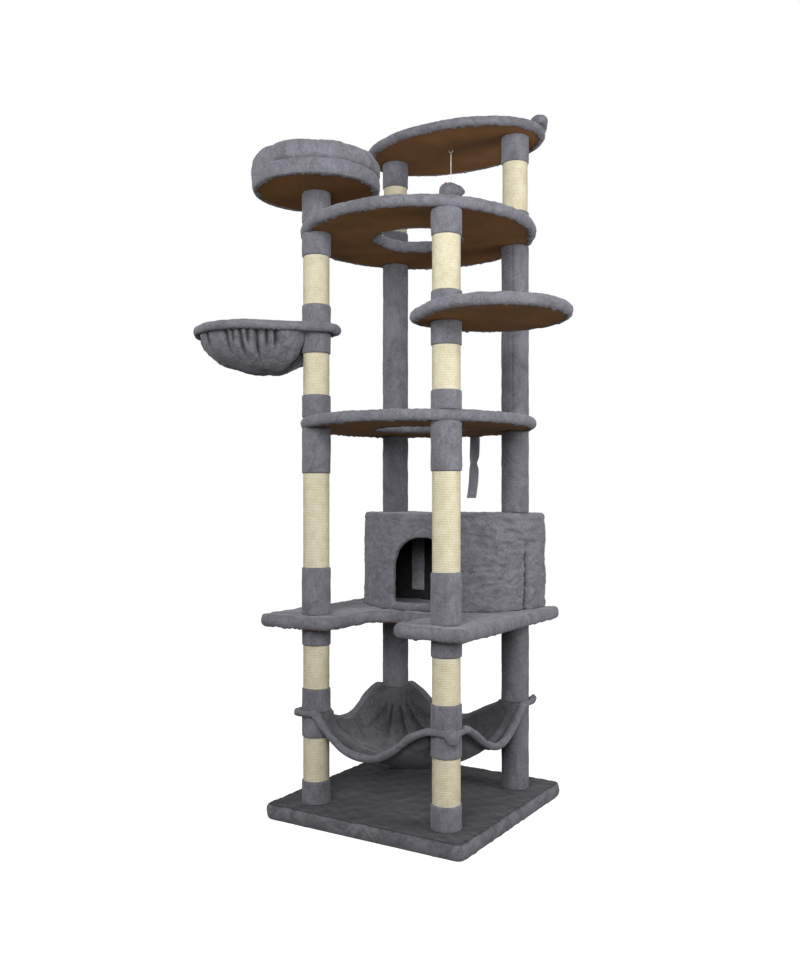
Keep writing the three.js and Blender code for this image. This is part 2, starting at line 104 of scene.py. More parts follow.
# How far each hem sags below the clamps in mm, at shares of the way between its two posts. The
# keys are (axis across the hem, its side); the way runs along the other axis, towards +.
HEM_SAGS = {
    (1, -1): ((0, 0), (0.08, 14), (0.16, 46), (0.26, 79), (0.36, 93), (0.46, 94), (0.56, 84),
              (0.66, 62), (0.78, 26), (0.90, 3), (1, 0)),
    (0, 1): ((0, 0), (0.1, 3), (0.2, 22), (0.35, 54), (0.5, 78), (0.63, 86), (0.75, 70),
             (0.86, 32), (0.94, 8), (1, 0)),
    (1, 1): ((0, -10), (0.06, -11), (0.12, 0), (0.22, 26), (0.35, 56), (0.5, 74), (0.65, 56),
             (0.81, 26), (0.9, 13), (1, 4)),
    (0, -1): ((0, 0), (0.1, 8), (0.25, 34), (0.4, 52), (0.53, 52), (0.65, 32), (0.76, 10),
              (0.9, -6), (1, -10)),
}
# At each corner: how far the cloth stands over its clamp, then how far its free tip lifts more.
CORNER_LIFTS = {(-1, -1): (0, 0.002), (1, -1): (0, -0.024), (1, 1): (0, 0.014), (-1, 1): (0.01, 0)}
# How deep the folds are that run from each corner towards the middle.
CORNER_FOLDS = {(-1, 1): 0.028, (1, 1): 0.010, (-1, -1): 0.006}
TOY = {"x": 0.0085, "y": 0.175, "pivot": 1.889, "end": 1.8}
MOUSE = {"length": 0.080, "radius": 0.029, "nose": -0.034, "drop": 0.0257, "slope": 0.007}
# Ears and eyes in mm from where the cord meets the mouse (the left ones mirror Y), and which way
# they face.
MOUSE_EAR = {"at": (4, 22.5, -11.5), "faces": (-0.3, 0.85, 0.45)}
MOUSE_EYE = {"at": (-8.5, 18.4, -5.3), "faces": (-0.5, 0.75, 0.5)}
STRAP = {"x": 0.0155, "y": 0.3142, "width": 0.034, "thick": 0.0024, "top": 1.082,
         "screw": 1.070, "bend": 1.056, "end": 0.867, "hole": 0.883}


# ------------------------------------------------------------------ numbers and relief
def relief(points, size, seed, count=16):
    """Smooth random height from about -1 to 1 at each point, with swells about size across."""
    rng = np.random.default_rng(seed)
    way = unit(rng.normal(size=(count, 3)))
    length = size * rng.uniform(0.8, 1.9, count)
    phase = rng.uniform(0, TURN, count)
    waves = np.sin(points @ (way * (TURN / length[:, None])).T + phase)
    return waves.sum(1) / math.sqrt(count)


def smoothstep(low, high, x):
    """0 up to low, 1 from high on, and a smooth rise in between."""
    t = np.clip((x - low) / (high - low), 0, 1)
    return t * t * (3 - 2 * t)


def bell(x, middle, width):
    """A smooth bump: 1 at middle, and almost nothing further than two widths from it."""
    return np.exp(-((x - middle) / width) ** 2)


def unit(vectors):
    """Vectors along the last axis, scaled to length 1."""
    return vectors / np.linalg.norm(vectors, axis=-1)[..., None]


def circle(count):
    """Angles spaced evenly round a circle."""
    return np.arange(count) * TURN / count


def bearings(points, centre):
    """The way from centre to each point in plan, in degrees from +X, 0 to 360."""
    return np.degrees(np.arctan2(points[:, 1] - centre[1], points[:, 0] - centre[0])) % 360


def plan_distances(points, centre):
    return np.hypot(points[:, 0] - centre[0], points[:, 1] - centre[1])


def distances_along(path):
    """How far along a path each of its points lies."""
    return np.concatenate([[0], np.cumsum(np.linalg.norm(np.diff(path, axis=0), axis=1))])


def at_distances(path, along, at):
    """The points of a path at some distances along it."""
    return np.stack([np.interp(at, along, path[:, k]) for k in range(path.shape[1])], axis=1)


def resampled(loop, step):
    """A closed loop again, with points about step apart."""
    loop = np.asarray(loop, float)
    whole = np.vstack([loop, loop[:1]])
    along = distances_along(whole)
    count = max(12, round(along[-1] / step))
    return at_distances(whole, along, np.linspace(0, along[-1], count, endpoint=False))


def relaxed(loop, rounds):
    """A closed loop, smoothed."""
    for _ in range(rounds):
        loop = 0.5 * loop + 0.25 * (np.roll(loop, 1, 0) + np.roll(loop, -1, 0))
    return loop


def loop_normals(loop):
    """Unit normals of a closed plan loop that runs anticlockwise, pointing out of it."""
    along = unit(np.roll(loop, -1, 0) - np.roll(loop, 1, 0))
    return np.stack([along[:, 1], -along[:, 0]], axis=1)


def area_of(loop):
    """The area inside a plan loop, negative if it runs clockwise."""
    x, y = loop[:, 0], loop[:, 1]
    return 0.5 * float((x * np.roll(y, -1) - y * np.roll(x, -1)).sum())


def outward(loop):
    """Unit normals that point out of a closed plan loop, whichever way it runs."""
    return loop_normals(loop) * (1 if area_of(loop) > 0 else -1)


def between(a, b, c, d, f):
    """The point a share f of the way from b to c, on the smooth curve through a, b, c and d."""
    return 0.5 * (2 * b + (c - a) * f + (2 * a - 5 * b + 4 * c - d) * f * f
                  + (3 * b - a - 3 * c + d) * f ** 3)


def catmull(points, count, closed=True):
    """A smooth curve through points, as count points."""
    p = np.asarray(points, float)
    n = len(p)
    spans = n if closed else n - 1
    out = []
    for t in np.linspace(0, spans, count, endpoint=not closed):
        i = min(int(t), spans - 1)
        q = [p[(i + k) % n] if closed else p[min(max(i + k, 0), n - 1)] for k in (-1, 0, 1, 2)]
        out.append(between(*q, t - i))
    return np.array(out)


# ------------------------------------------------------------------ meshes
def new_mesh(name, points, faces):
    data = bpy.data.meshes.new(name)
    data.from_pydata([tuple(p) for p in points], [], [tuple(int(i) for i in f) for f in faces])
    data.update()
    obj = in_scene(name, data)
    data.shade_smooth()
    return obj


def in_scene(name, data):
    """A new object in the scene that holds data."""
    obj = bpy.data.objects.new(name, data)
    bpy.context.scene.collection.objects.link(obj)
    return obj


def grid_faces(rows, columns, closed_rows=False, closed_columns=True):
    """Quads over a grid of points that was filled row by row."""
    r = np.arange(rows if closed_rows else rows - 1)
    c = np.arange(columns if closed_columns else columns - 1)
    a, b = np.meshgrid(r, c, indexing="ij")
    down, right = (a + 1) % rows, (b + 1) % columns
    return np.stack([a * columns + b, a * columns + right,
                     down * columns + right, down * columns + b], -1).reshape(-1, 4)


def ring_faces(rows, columns, base=0, climbing=False):
    """Quads round a stack of rings whose points start at base, and a face over each end.

    climbing says that the rings rise with their points anticlockwise, so that the end faces
    must be wound the other way round to face out.
    """
    faces = [tuple(f + base) for f in grid_faces(rows, columns)]
    first = range(base, base + columns)
    last = range(base + (rows - 1) * columns, base + rows * columns)
    if climbing:
        return faces + [tuple(first[::-1]), tuple(last)]
    return faces + [tuple(first), tuple(last[::-1])]


def point_values(obj, key):
    values = np.zeros(len(obj.data.vertices) * 3)
    obj.data.vertices.foreach_get(key, values)
    return values.reshape(-1, 3)


def points_of(obj):
    return point_values(obj, "co")


def normals_of(obj):
    return point_values(obj, "normal")


def move_points(obj, points):
    obj.data.vertices.foreach_set("co", np.ascontiguousarray(points).ravel())
    obj.data.update()


def facing_out(obj):
    """Merges the points of a closed body that coincide, and turns all its faces outward."""
    bm = bmesh.new()
    bm.from_mesh(obj.data)
    bmesh.ops.remove_doubles(bm, verts=bm.verts, dist=1e-5)
    bmesh.ops.recalc_face_normals(bm, faces=bm.faces)
    bm.to_mesh(obj.data)
    bm.free()
    obj.data.shade_smooth()
    return obj


def swell(obj, amount, size, seed):
    """Moves a surface in and out along its normals."""
    points = points_of(obj)
    move_points(obj, points + normals_of(obj) * (amount * relief(points, size, seed))[:, None])
    return obj


def apply_modifiers(obj):
    """Makes what obj's modifiers show its own mesh."""
    evaluated = obj.evaluated_get(bpy.context.evaluated_depsgraph_get())
    data = bpy.data.meshes.new_from_object(evaluated)
    obj.modifiers.clear()
    obj.data = data
    obj.data.shade_smooth()
    return obj


def dress(obj, material):
    """Gives a CAD part that stays in view its material."""
    obj.data.materials.clear()
    obj.data.materials.append(material)


def finish_piece(obj, material, nodes, body="frame"):
    """Gives a piece its material and slot, and tells which body it rides and what it replaces."""
    obj.data.materials.clear()
    obj.data.materials.append(material)
    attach(obj, body)
    if nodes:
        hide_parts(*nodes)
    return obj


def mark_painted_fold_shade(obj, depth):
    """Notes on each point how deep it lies in a fold, 0 to 1, so that the plush gets painted shade there.
    """
    obj.data.attributes.new("fold", "FLOAT", "POINT").data.foreach_set("value", depth)


# ------------------------------------------------------------------ materials
class Nodes:
    """A small helper that adds and links shader nodes.

    Where a value is asked for, an output of another node does as well.
    """

    def __init__(self, name):
        self.material = bpy.data.materials.new(name)
        self.material.use_nodes = True
        self.tree = self.material.node_tree
        self.shader = self.tree.nodes["Principled BSDF"]

    def feed(self, socket, value):
        if isinstance(value, bpy.types.NodeSocket):
            self.tree.links.new(value, socket)
        else:
            socket.default_value = value

    def add(self, kind, inputs=(), **settings):
        node = self.tree.nodes.new(kind)
        for key, value in settings.items():
            setattr(node, key, value)
        for key, value in dict(inputs).items():
            self.feed(node.inputs[key], value)
        return node

    def set(self, **values):
        for key, value in values.items():
            self.feed(self.shader.inputs[key.replace("_", " ")], value)

    def place(self, stretch=(1, 1, 1), turn=(0, 0, 0)):
        coordinates = self.add("ShaderNodeTexCoord").outputs["Object"]
        return self.add("ShaderNodeMapping", {"Vector": coordinates, "Scale": stretch,
                                              "Rotation": turn}).outputs["Vector"]

    def noise(self, where, scale, detail=2.0, distortion=0.0, roughness=0.5):
        return self.add("ShaderNodeTexNoise", {"Vector": where, "Scale": scale, "Detail": detail,
                                               "Distortion": distortion,
                                               "Roughness": roughness}).outputs["Fac"]

    def wave(self, where, scale, distortion=0.0, direction="X"):
        """Ribs that follow each other along direction."""
        return self.add("ShaderNodeTexWave", {"Vector": where, "Scale": scale,
                                              "Distortion": distortion},
                        wave_type="BANDS", bands_direction=direction).outputs["Fac"]

    def ramp(self, value, *stops):
        """A colour for each value, through stops of (position, linear colour)."""
        node = self.add("ShaderNodeValToRGB", {"Fac": value})
        marks = node.color_ramp.elements
        while len(marks) < len(stops):
            marks.new(0.5)
        for mark, (position, color) in zip(marks, stops):
            mark.position = position
            mark.color = (*color, 1)
        return node.outputs["Color"]

    def tones(self, value, *stops):
        """A ramp through stops of (position, red, green, blue), as 0 to 255 display colours."""
        return self.ramp(value, *[(position, linear(*color)) for position, *color in stops])

    def mix(self, factor, a, b, blend="MIX"):
        return self.add("ShaderNodeMix", {0: factor, 6: a, 7: b}, data_type="RGBA",
                        blend_type=blend).outputs[2]

    def with_painted_shade(self, color, value, start, end, shade):
        """color with painted shade: darker where value rises from start to end, shade times as light
        there.
        """
        dark = self.ramp(value, (start, (1, 1, 1)), (end, (shade,) * 3))
        return self.mix(1.0, color, dark, "MULTIPLY")

    def math(self, operation, a, b=0.0):
        return self.add("ShaderNodeMath", {0: a, 1: b}, operation=operation).outputs[0]

    def bump(self, height, distance, strength=1.0, under=None):
        inputs = {"Height": height, "Distance": distance, "Strength": strength}
        if under is not None:
            inputs["Normal"] = under
        return self.add("ShaderNodeBump", inputs).outputs["Normal"]


def linear(red, green, blue):
    """An 0 to 255 display colour as the linear values that shaders take."""
    return tuple(((c / 255 + 0.055) / 1.055) ** 2.4 if c > 10 else c / 3294
                 for c in (red, green, blue))


def plush_material(name, shade=1.0, nap=0.045, stretch=(1, 1, 1), turn=(0, 0, 0), contrast=1.0,
                   painted_top_shade=None, painted_fold_shade=None):
    """Short-pile plush whose nap lies lighter and darker where it was brushed or crushed.

    Faces that point up get painted shade, painted_top_shade times as light as upright faces,
    and plush deep in a fold gets painted shade, painted_fold_shade times as light as outside it.
    """
    n = Nodes(name)
    brushed = n.noise(n.place(stretch, turn), 1 / nap, 4.0, 1.4, 0.55)
    clumps = n.noise(n.place(), 190.0, 3.0, 0.6)
    fibres = n.noise(n.place(), 900.0, 2.0)

    def tone(level):
        return level * shade, 0.985 * level * shade, 1.12 * level * shade

    spread = 0.15 / contrast
    base = n.ramp(brushed, (0.5 - spread, tone(0.066)), (0.5, tone(0.116)),
                  (0.5 + spread, tone(0.168)))
    speckled = n.mix(0.4, base, n.ramp(clumps, (0.3, tone(0.045)), (0.7, tone(0.195))))
    fuzzy = n.mix(0.25, speckled, n.ramp(fibres, (0.35, tone(0.035)), (0.68, tone(0.26))))
    # Painted shade: faces that point up are darker, as if the parts above shaded them.
    if painted_top_shade is not None:
        facing = n.add("ShaderNodeNewGeometry").outputs["Normal"]
        upward = n.add("ShaderNodeSeparateXYZ", {"Vector": facing}).outputs["Z"]
        fuzzy = n.with_painted_shade(fuzzy, upward, 0.55, 0.97, painted_top_shade)
    # Painted shade in folds, darker the deeper a point lies in one.
    if painted_fold_shade is not None:
        depth = n.add("ShaderNodeAttribute", attribute_name="fold").outputs["Fac"]
        fuzzy = n.with_painted_shade(fuzzy, depth, 0.25, 0.9, painted_fold_shade)
    normal = n.bump(brushed, 2.0 * MM, 0.6)
    normal = n.bump(clumps, 1.5 * MM, 0.6, normal)
    normal = n.bump(fibres, 0.7 * MM, 0.5, normal)
    n.set(Base_Color=fuzzy, Normal=normal, Roughness=0.95)
    n.set(Sheen_Weight=0.25, Sheen_Roughness=0.5, Specular_IOR_Level=0.12)
    n.set(Sheen_Tint=(*linear(*SHEEN), 1))
    return n.material


def sisal_material():
    """Cream rope: each turn has its own tone, strands run across it, and the grooves between turns get
    painted shade.
    """
    n = Nodes("sisal rope")
    uv = n.add("ShaderNodeUVMap").outputs["UV"]
    parts = n.add("ShaderNodeSeparateXYZ", {"Vector": uv})
    around, along = parts.outputs["X"], parts.outputs["Y"]
    strand = n.math("SINE", n.math("ADD", n.math("MULTIPLY", around, TURN / 3.4),
                                   n.math("MULTIPLY", along, TURN * 0.8)))
    turn = n.add("ShaderNodeTexNoise", {"Vector": uv, "Scale": 0.35, "Detail": 3.0}).outputs["Fac"]
    blotch = n.noise(n.place(), 38.0, 3.0)
    fibre = n.noise(n.place((1, 1, 5)), 420.0, 3.0)
    cream = n.tones(turn, (0.3, 176, 167, 140), (0.55, 193, 187, 163), (0.75, 203, 198, 178))
    aged = n.mix(0.4, cream, n.tones(blotch, (0.32, 168, 157, 128), (0.6, 198, 192, 170)))
    groove = n.math("ABSOLUTE", n.math("SUBTRACT", n.math("FRACT", along), 0.5))
    # Painted shade between the turns of rope.
    painted_groove_shade = n.ramp(groove, (0.30, (1, 1, 1)), (0.5, (0.62, 0.56, 0.44)))
    shaded = n.mix(1.0, aged, painted_groove_shade, "MULTIPLY")
    hairy = n.mix(0.18, shaded, n.tones(fibre, (0.35, 140, 128, 98), (0.6, 214, 210, 194)))
    normal = n.bump(strand, 0.35 * MM, 0.5)
    normal = n.bump(fibre, 0.35 * MM, 0.6, normal)
    n.set(Base_Color=hairy, Normal=normal, Roughness=0.82, Specular_IOR_Level=0.25)
    return n.material


def board_material():
    """Bare brown fibreboard with pressed flecks."""
    n = Nodes("fibreboard")
    cloudy = n.noise(n.place(), 9.0, 4.0, 0.4)
    flecks = n.noise(n.place((1, 1.8, 1)), 420.0, 4.0, 0.3, 0.7)
    brown = n.tones(cloudy, (0.3, 112, 77, 41), (0.7, 144, 100, 56))
    flecked = n.mix(0.35, brown, n.tones(flecks, (0.35, 72, 47, 23), (0.65, 160, 118, 71)))
    n.set(Base_Color=flecked, Normal=n.bump(flecks, 0.3 * MM, 0.4), Roughness=0.72,
          Specular_IOR_Level=0.3)
    return n.material


def webbing_material():
    """Flat grey webbing with fine ribs across it."""
    n = Nodes("grey webbing")
    ribs = n.wave(n.place(), 260.0, 0.4, "Z")
    yarn = n.noise(n.place((1, 1, 0.3)), 700.0, 2.0)
    grey = n.tones(ribs, (0.2, 122, 121, 129), (0.8, 152, 151, 159))
    woven = n.mix(0.3, grey, n.tones(yarn, (0.3, 108, 106, 114), (0.7, 166, 165, 172)))
    n.set(Base_Color=woven, Normal=n.bump(ribs, 0.25 * MM, 0.6), Roughness=0.8,
          Specular_IOR_Level=0.25)
    return n.material


def steel_material():
    n = Nodes("staple steel")
    scuffs = n.noise(n.place(), 600.0, 3.0)
    n.set(Base_Color=n.tones(scuffs, (0.3, 176, 178, 182), (0.7, 214, 215, 218)),
          Normal=n.bump(scuffs, 0.05 * MM, 0.3), Metallic=1.0,
          Roughness=n.math("MULTIPLY_ADD", scuffs, 0.2))
    return n.material


def cord_material():
    n = Nodes("pale cord")
    twist = n.wave(n.place((1, 1, 0.6), (0.6, 0.4, 0)), 420.0)
    n.set(Base_Color=n.tones(twist, (0.2, 196, 190, 176), (0.7, 238, 235, 226)),
          Normal=n.bump(twist, 0.25 * MM, 0.7), Roughness=0.75)
    return n.material


def bead_material():
    n = Nodes("red bead")
    swirl = n.noise(n.place(), 300.0, 2.0)
    n.set(Base_Color=n.tones(swirl, (0.3, 150, 14, 30), (0.7, 205, 30, 48)), Roughness=0.22)
    return n.material


def thread_material():
    n = Nodes("dark thread")
    twist = n.wave(n.place((1, 1, 1), (0.5, 0.7, 0)), 500.0)
    n.set(Base_Color=n.tones(twist, (0.2, 36, 34, 38), (0.8, 58, 56, 62)), Roughness=0.8)
    return n.material


PLUSH = plush_material("grey plush")
# Condo, hammock and pouch plush darken where points are marked deep in a fold or seam: painted shade.
CONDO_PLUSH = plush_material("condo plush", nap=0.04, stretch=(1, 1, 1.9), contrast=1.2,
                             painted_fold_shade=0.25)
# A darker copy of the plush for the hammock's inside: painted shade; the hem keeps a lighter tone.
HAMMOCK_SHADED_PLUSH = plush_material("hammock plush painted shade", shade=0.54, nap=0.05, contrast=1.3, painted_fold_shade=0.22)
POUCH_PLUSH = plush_material("pouch plush", shade=0.92, nap=0.028, contrast=1.4, painted_fold_shade=0.25)
# The base's top gets painted shade and comes out darker than its rim.
BASE_PLUSH = plush_material("base plush", shade=0.85, nap=0.08, contrast=2.1, painted_top_shade=0.18)
# A much lighter copy of the plush: painted light, the band the doorway lets in on the back wall.
STRIP_PAINTED_LIGHT = plush_material("strip painted light", shade=2.8, nap=0.03)
# A darker copy of the plush for the condo's inside faces: painted shade, as little light gets in.
CONDO_INSIDE_SHADE = plush_material("condo inside painted shade", shade=0.22, nap=0.04)
HEM_PLUSH = plush_material("hem plush", shade=0.92, nap=0.03)
TOY_PLUSH = plush_material("toy plush", shade=1.1, nap=0.02)
RED_BEAD = bead_material()
THREAD = thread_material()
POST_PLUSH = plush_material("post plush", nap=0.05, stretch=(1, 1, 0.55))
SISAL = sisal_material()
BOARD = board_material()
WEBBING = webbing_material()
STEEL = steel_material()
CORD = cord_material()


# ------------------------------------------------------------------ camera, light and floor
def make_camera():
    data = bpy.data.cameras.new("camera")
    camera = in_scene("camera", data)
    camera.location = CAMERA_PLACE
    camera.rotation_euler = (math.pi / 2, 0, CAMERA_TURN)
    data.lens = CAMERA_LENS
    data.sensor_width = 36
    data.shift_y = CAMERA_SHIFT
    data.clip_end = 50
    bpy.context.scene.camera = camera


def area_light(name, place, target, size, watts):
    data = bpy.data.lights.new(name, "AREA")
    data.shape = "RECTANGLE"
    data.size, data.size_y = size
    data.energy = watts
    light = in_scene(name, data)
    light.location = place
    light.rotation_euler = (Vector(target) - Vector(place)).to_track_quat("-Z", "Y").to_euler()


def make_world():
    """A backdrop that the camera sees as white, and that lights the object only a little."""
    world = bpy.data.worlds.new("studio")
    bpy.context.scene.world = world
    world.use_nodes = True
    tree = world.node_tree
    seen = tree.nodes["Background"]
    seen.inputs["Color"].default_value = (1, 1, 1, 1)
    seen.inputs["Strength"].default_value = 1.0
    ambient = tree.nodes.new("ShaderNodeBackground")
    ambient.inputs["Color"].default_value = (0.97, 0.98, 1, 1)
    ambient.inputs["Strength"].default_value = AMBIENT
    choice = tree.nodes.new("ShaderNodeMixShader")
    tree.links.new(tree.nodes.new("ShaderNodeLightPath").outputs["Is Camera Ray"], choice.inputs[0])
    tree.links.new(ambient.outputs[0], choice.inputs[1])
    tree.links.new(seen.outputs[0], choice.inputs[2])
    tree.links.new(choice.outputs[0], tree.nodes["World Output"].inputs["Surface"])


def make_stage():
    make_world()
    for light in LIGHTS:
        area_light(*light)
    far = 40
    floor = new_mesh("floor", [(-far, -far, 0), (far, -far, 0), (far, far, 0), (-far, far, 0)],
                     [(0, 1, 2, 3)])
    n = Nodes("pale floor")
    n.set(Base_Color=(0.2, 0.2, 0.2, 1), Roughness=0.95)
    n.set(Emission_Color=(1, 1, 1, 1),
          Emission_Strength=n.math("MULTIPLY", n.add("ShaderNodeLightPath").outputs["Is Camera Ray"],
                                   FLOOR_GLOW))
    floor.data.materials.append(n.material)
    bpy.context.scene.view_settings.view_transform = "Standard"


# ------------------------------------------------------------------ posts
def wide_heights(node, radius_share=0.95):
    """The heights at which a turned CAD node has its full radius, and its axis and radius."""
    low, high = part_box(node)
    axis = np.array([(low.x + high.x) / 2, (low.y + high.y) / 2])
    radius = (high.x - low.x) / 2
    points = points_of(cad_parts[node])
    far = np.linalg.norm(points[:, :2] - axis, axis=1) > radius * radius_share
    return np.unique(np.round(points[far, 2], 4)), axis, radius


def spaced(low, high, step):
    """Heights from low to high, about step apart."""
    return list(np.linspace(low, high, max(2, round((high - low) / step) + 1)))


def turned(name, axis, profile, around, move):
    """A closed tube of revolution about an upright axis, whose points move(points, angles) shifts."""
    angles = circle(around)
    radius, height = np.array(profile).T
    points = np.stack([
        axis[0] + radius[:, None] * np.cos(angles),
        axis[1] + radius[:, None] * np.sin(angles),
        np.repeat(height[:, None], around, 1)], -1)
    points = move(points, angles)
    return new_mesh(name, points.reshape(-1, 3), ring_faces(len(profile), around, climbing=True))


def plush_post(node, seam, seed):
    """A plush sleeve with soft ends, a sewn seam and, where it is cut for the rope, frayed cuffs."""
    heights, axis, radius = wide_heights(node)
    core = radius - 8 * MM
    roll = 3.5 * MM
    cut_for_rope = len(heights) == 4

    def sleeve(low, high):
        ends = [(core, low), (radius - 0.8 * roll, low + 0.1 * roll),
                (radius - 0.25 * roll, low + 0.45 * roll), (radius, low + roll)]
        middle = [(radius, z) for z in spaced(low + 2 * roll, high - 2 * roll, 6 * MM)]
        return ends + middle + [(r, low + high - z) for r, z in reversed(ends)]

    if cut_for_rope:
        profile = sleeve(heights[0], heights[1]) + sleeve(heights[2], heights[3])
    else:
        profile = sleeve(heights[0], heights[-1])

    def move(points, angles):
        flat = points.reshape(-1, 3)
        out = flat - np.array([*axis, 0])
        out[:, 2] = 0
        out = unit(out)
        lumps = 0.45 * relief(flat, 55 * MM, seed) + 0.22 * relief(flat, 14 * MM, seed + 1)
        turn = np.tile(angles, len(points))
        away = ((turn - seam + math.pi) % TURN - math.pi) * radius
        groove = bell(away, 0, 2.2 * MM)
        puffed_side = bell(np.abs(away), 6 * MM, 4 * MM)
        shift = PILE * lumps * 0.6 - 1.3 * MM * groove + 0.5 * MM * puffed_side
        fray = 0.5 * MM * relief(flat, 5 * MM, seed + 2) * cut_for_rope
        moved = flat + out * shift[:, None]
        z = flat[:, 2]
        moved[:, 2] += fray * ((z > heights[0] + 4 * MM) & (z < heights[-1] - 4 * MM))
        return moved.reshape(points.shape)

    obj = turned("plush_" + node, axis, profile, 88, move)
    return finish_piece(obj, POST_PLUSH, [node])


def sisal_winding(node, seed):
    """Rope wound in one helix: each turn is a round ridge, a pitch below the one before."""
    heights, axis, radius = wide_heights(node)
    low, high = heights[0], heights[-1]
    around, per_turn = 72, 5
    rows = max(8, round((high - low) / ROPE_PITCH * per_turn))
    angles = np.arange(around + 1) * TURN / around
    z = np.linspace(low, high, rows + 1)
    turns = z[:, None] / ROPE_PITCH - angles[None, :] / TURN
    ridge = np.sqrt(np.clip(1 - (2 * (turns % 1) - 1) ** 2, 0, 1))
    points = np.stack(np.broadcast_arrays(
        axis[0] + radius * np.cos(angles)[None, :], axis[1] + radius * np.sin(angles)[None, :],
        z[:, None]), -1).reshape(-1, 3)
    uneven = 0.35 * relief(points, 18 * MM, seed).reshape(turns.shape)
    depth = 1.3 * MM * ridge + 0.4 * MM * uneven - 0.5 * MM
    out = np.stack([np.cos(angles), np.sin(angles), 0 * angles], -1)[None]
    points = points.reshape(rows + 1, around + 1, 3) + out * depth[..., None]
    points[:, -1] = points[:, 0]
    obj = new_mesh("rope_" + node, points.reshape(-1, 3),
                   grid_faces(rows + 1, around + 1, closed_columns=False))
    layer = obj.data.uv_layers.new(name="rope")
    corner = np.zeros(len(obj.data.loops), int)
    obj.data.loops.foreach_get("vertex_index", corner)
    column, row = corner % (around + 1), corner // (around + 1)
    uv = np.stack([column / around * TURN * radius / MM, turns[row, column]], -1)
    layer.data.foreach_set("uv", uv.ravel())
    return finish_piece(obj, SISAL, [node])


def make_posts():
    for seed, name in enumerate(sorted(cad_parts)):
        if name.startswith("post_"):
            seam = SEAM_IN_VIEW if name == "post_front_right_3" else seed * 2.4
            plush_post(name, seam, seed * 7)
        elif name.startswith("sisal_"):
            sisal_winding(name, seed * 7)


# ------------------------------------------------------------------ plush-wrapped boards
def top_loops(node):
    """The plan loops round a CAD node's top face, without bolt holes: outer first, then the hole."""
    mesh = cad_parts[node].data
    top = max(v.co.z for v in mesh.vertices)
    key = {v.index: (round(v.co.x, 5), round(v.co.y, 5)) for v in mesh.vertices}
    used = {}
    for face in mesh.polygons:
        if all(abs(mesh.vertices[i].co.z - top) < 1e-4 for i in face.vertices):
            ring = [key[i] for i in face.vertices]
            for a, b in zip(ring, ring[1:] + ring[:1]):
                used[(a, b)] = used.get((a, b), 0) + 1
    follow = {a: b for a, b in used if (b, a) not in used}
    loops = []
    while follow:
        start = next(iter(follow))
        loop, at = [], start
        while at in follow:
            loop.append(at)
            at = follow.pop(at)
        loops.append(np.array(loop))
    wide = [p for p in loops if np.ptp(p[:, 0]) > 50 * MM]
    wide.sort(key=lambda p: -abs(area_of(p)))
    return [p if area_of(p) > 0 else p[::-1] for p in wide]


def rim_profile(under, top, lip, nose, puff=1.2 * MM):
    """(inset, height) of the plush round a rim: a ragged lip below, a round nose, then the top."""
    middle, half = (under + top) / 2, (top - under) / 2 + puff
    profile = [(14 * MM, under)]
    if lip:
        profile = [(17 * MM, under - 0.2 * MM), (16.5 * MM, under - 1.8 * MM), (14 * MM, under - 2.2 * MM)]
    for degrees in range(-84, 91, 12):
        angle = math.radians(degrees)
        z = middle + half * math.sin(angle)
        profile.append((nose * (1 - math.cos(angle)), z if lip else max(z, under)))
    return profile + [(15 * MM, top + 0.5 * puff)]


def swept_rim(loop, inward, profile, lip, seed):
    """The profile swept round a plan loop, as rings of points. A lip's cut edge is ragged."""
    inset, height = np.array(profile).T
    rings = np.concatenate([loop[None] + inward[None] * inset[:, None, None],
                            np.repeat(height[:, None], len(loop), 1)[..., None]], -1)
    if lip:
        flat = rings.reshape(-1, 3)
        tufts = relief(flat, 8 * MM, seed + 5) + 0.8 * relief(flat, 20 * MM, seed + 6)
        tufts = tufts.reshape(rings.shape[:2])[0]
        rings[:2, :, :2] += inward[None] * (2.4 * MM * tufts)[None, :, None]
        rings[1:3, :, 2] -= 1.3 * MM * np.clip(tufts, -0.6, 2)
    return rings


def filled_plan(outline, step=9 * MM):
    """Plan points and triangles that fill the first loop of outline, but for its other loops."""
    outer = outline[0]
    xs = np.arange(outer[:, 0].min(), outer[:, 0].max(), step)
    ys = np.arange(outer[:, 1].min(), outer[:, 1].max(), step)
    inner = np.array([(x, y) for x in xs for y in ys])
    inner = inner[in_loop(inner, outer, 0.6 * step)]
    for hole in outline[1:]:
        inner = inner[~in_loop(inner, hole, -0.6 * step)]
    plan = np.vstack([*outline, inner])
    edges, at = [], 0
    for loop in outline:
        edges += [(at + i, at + (i + 1) % len(loop)) for i in range(len(loop))]
        at += len(loop)
    points, _, triangles, *_ = delaunay_2d_cdt([Vector(p) for p in plan], edges, [], 0, 1e-7)
    points = np.array([tuple(p) for p in points])
    triangles = np.array([t for t in triangles if len(t) == 3])
    middle = points[triangles].mean(1)
    keep = in_loop(middle, outer, 0)
    for hole in outline[1:]:
        keep &= ~in_loop(middle, hole, 0)
    return points, triangles[keep]


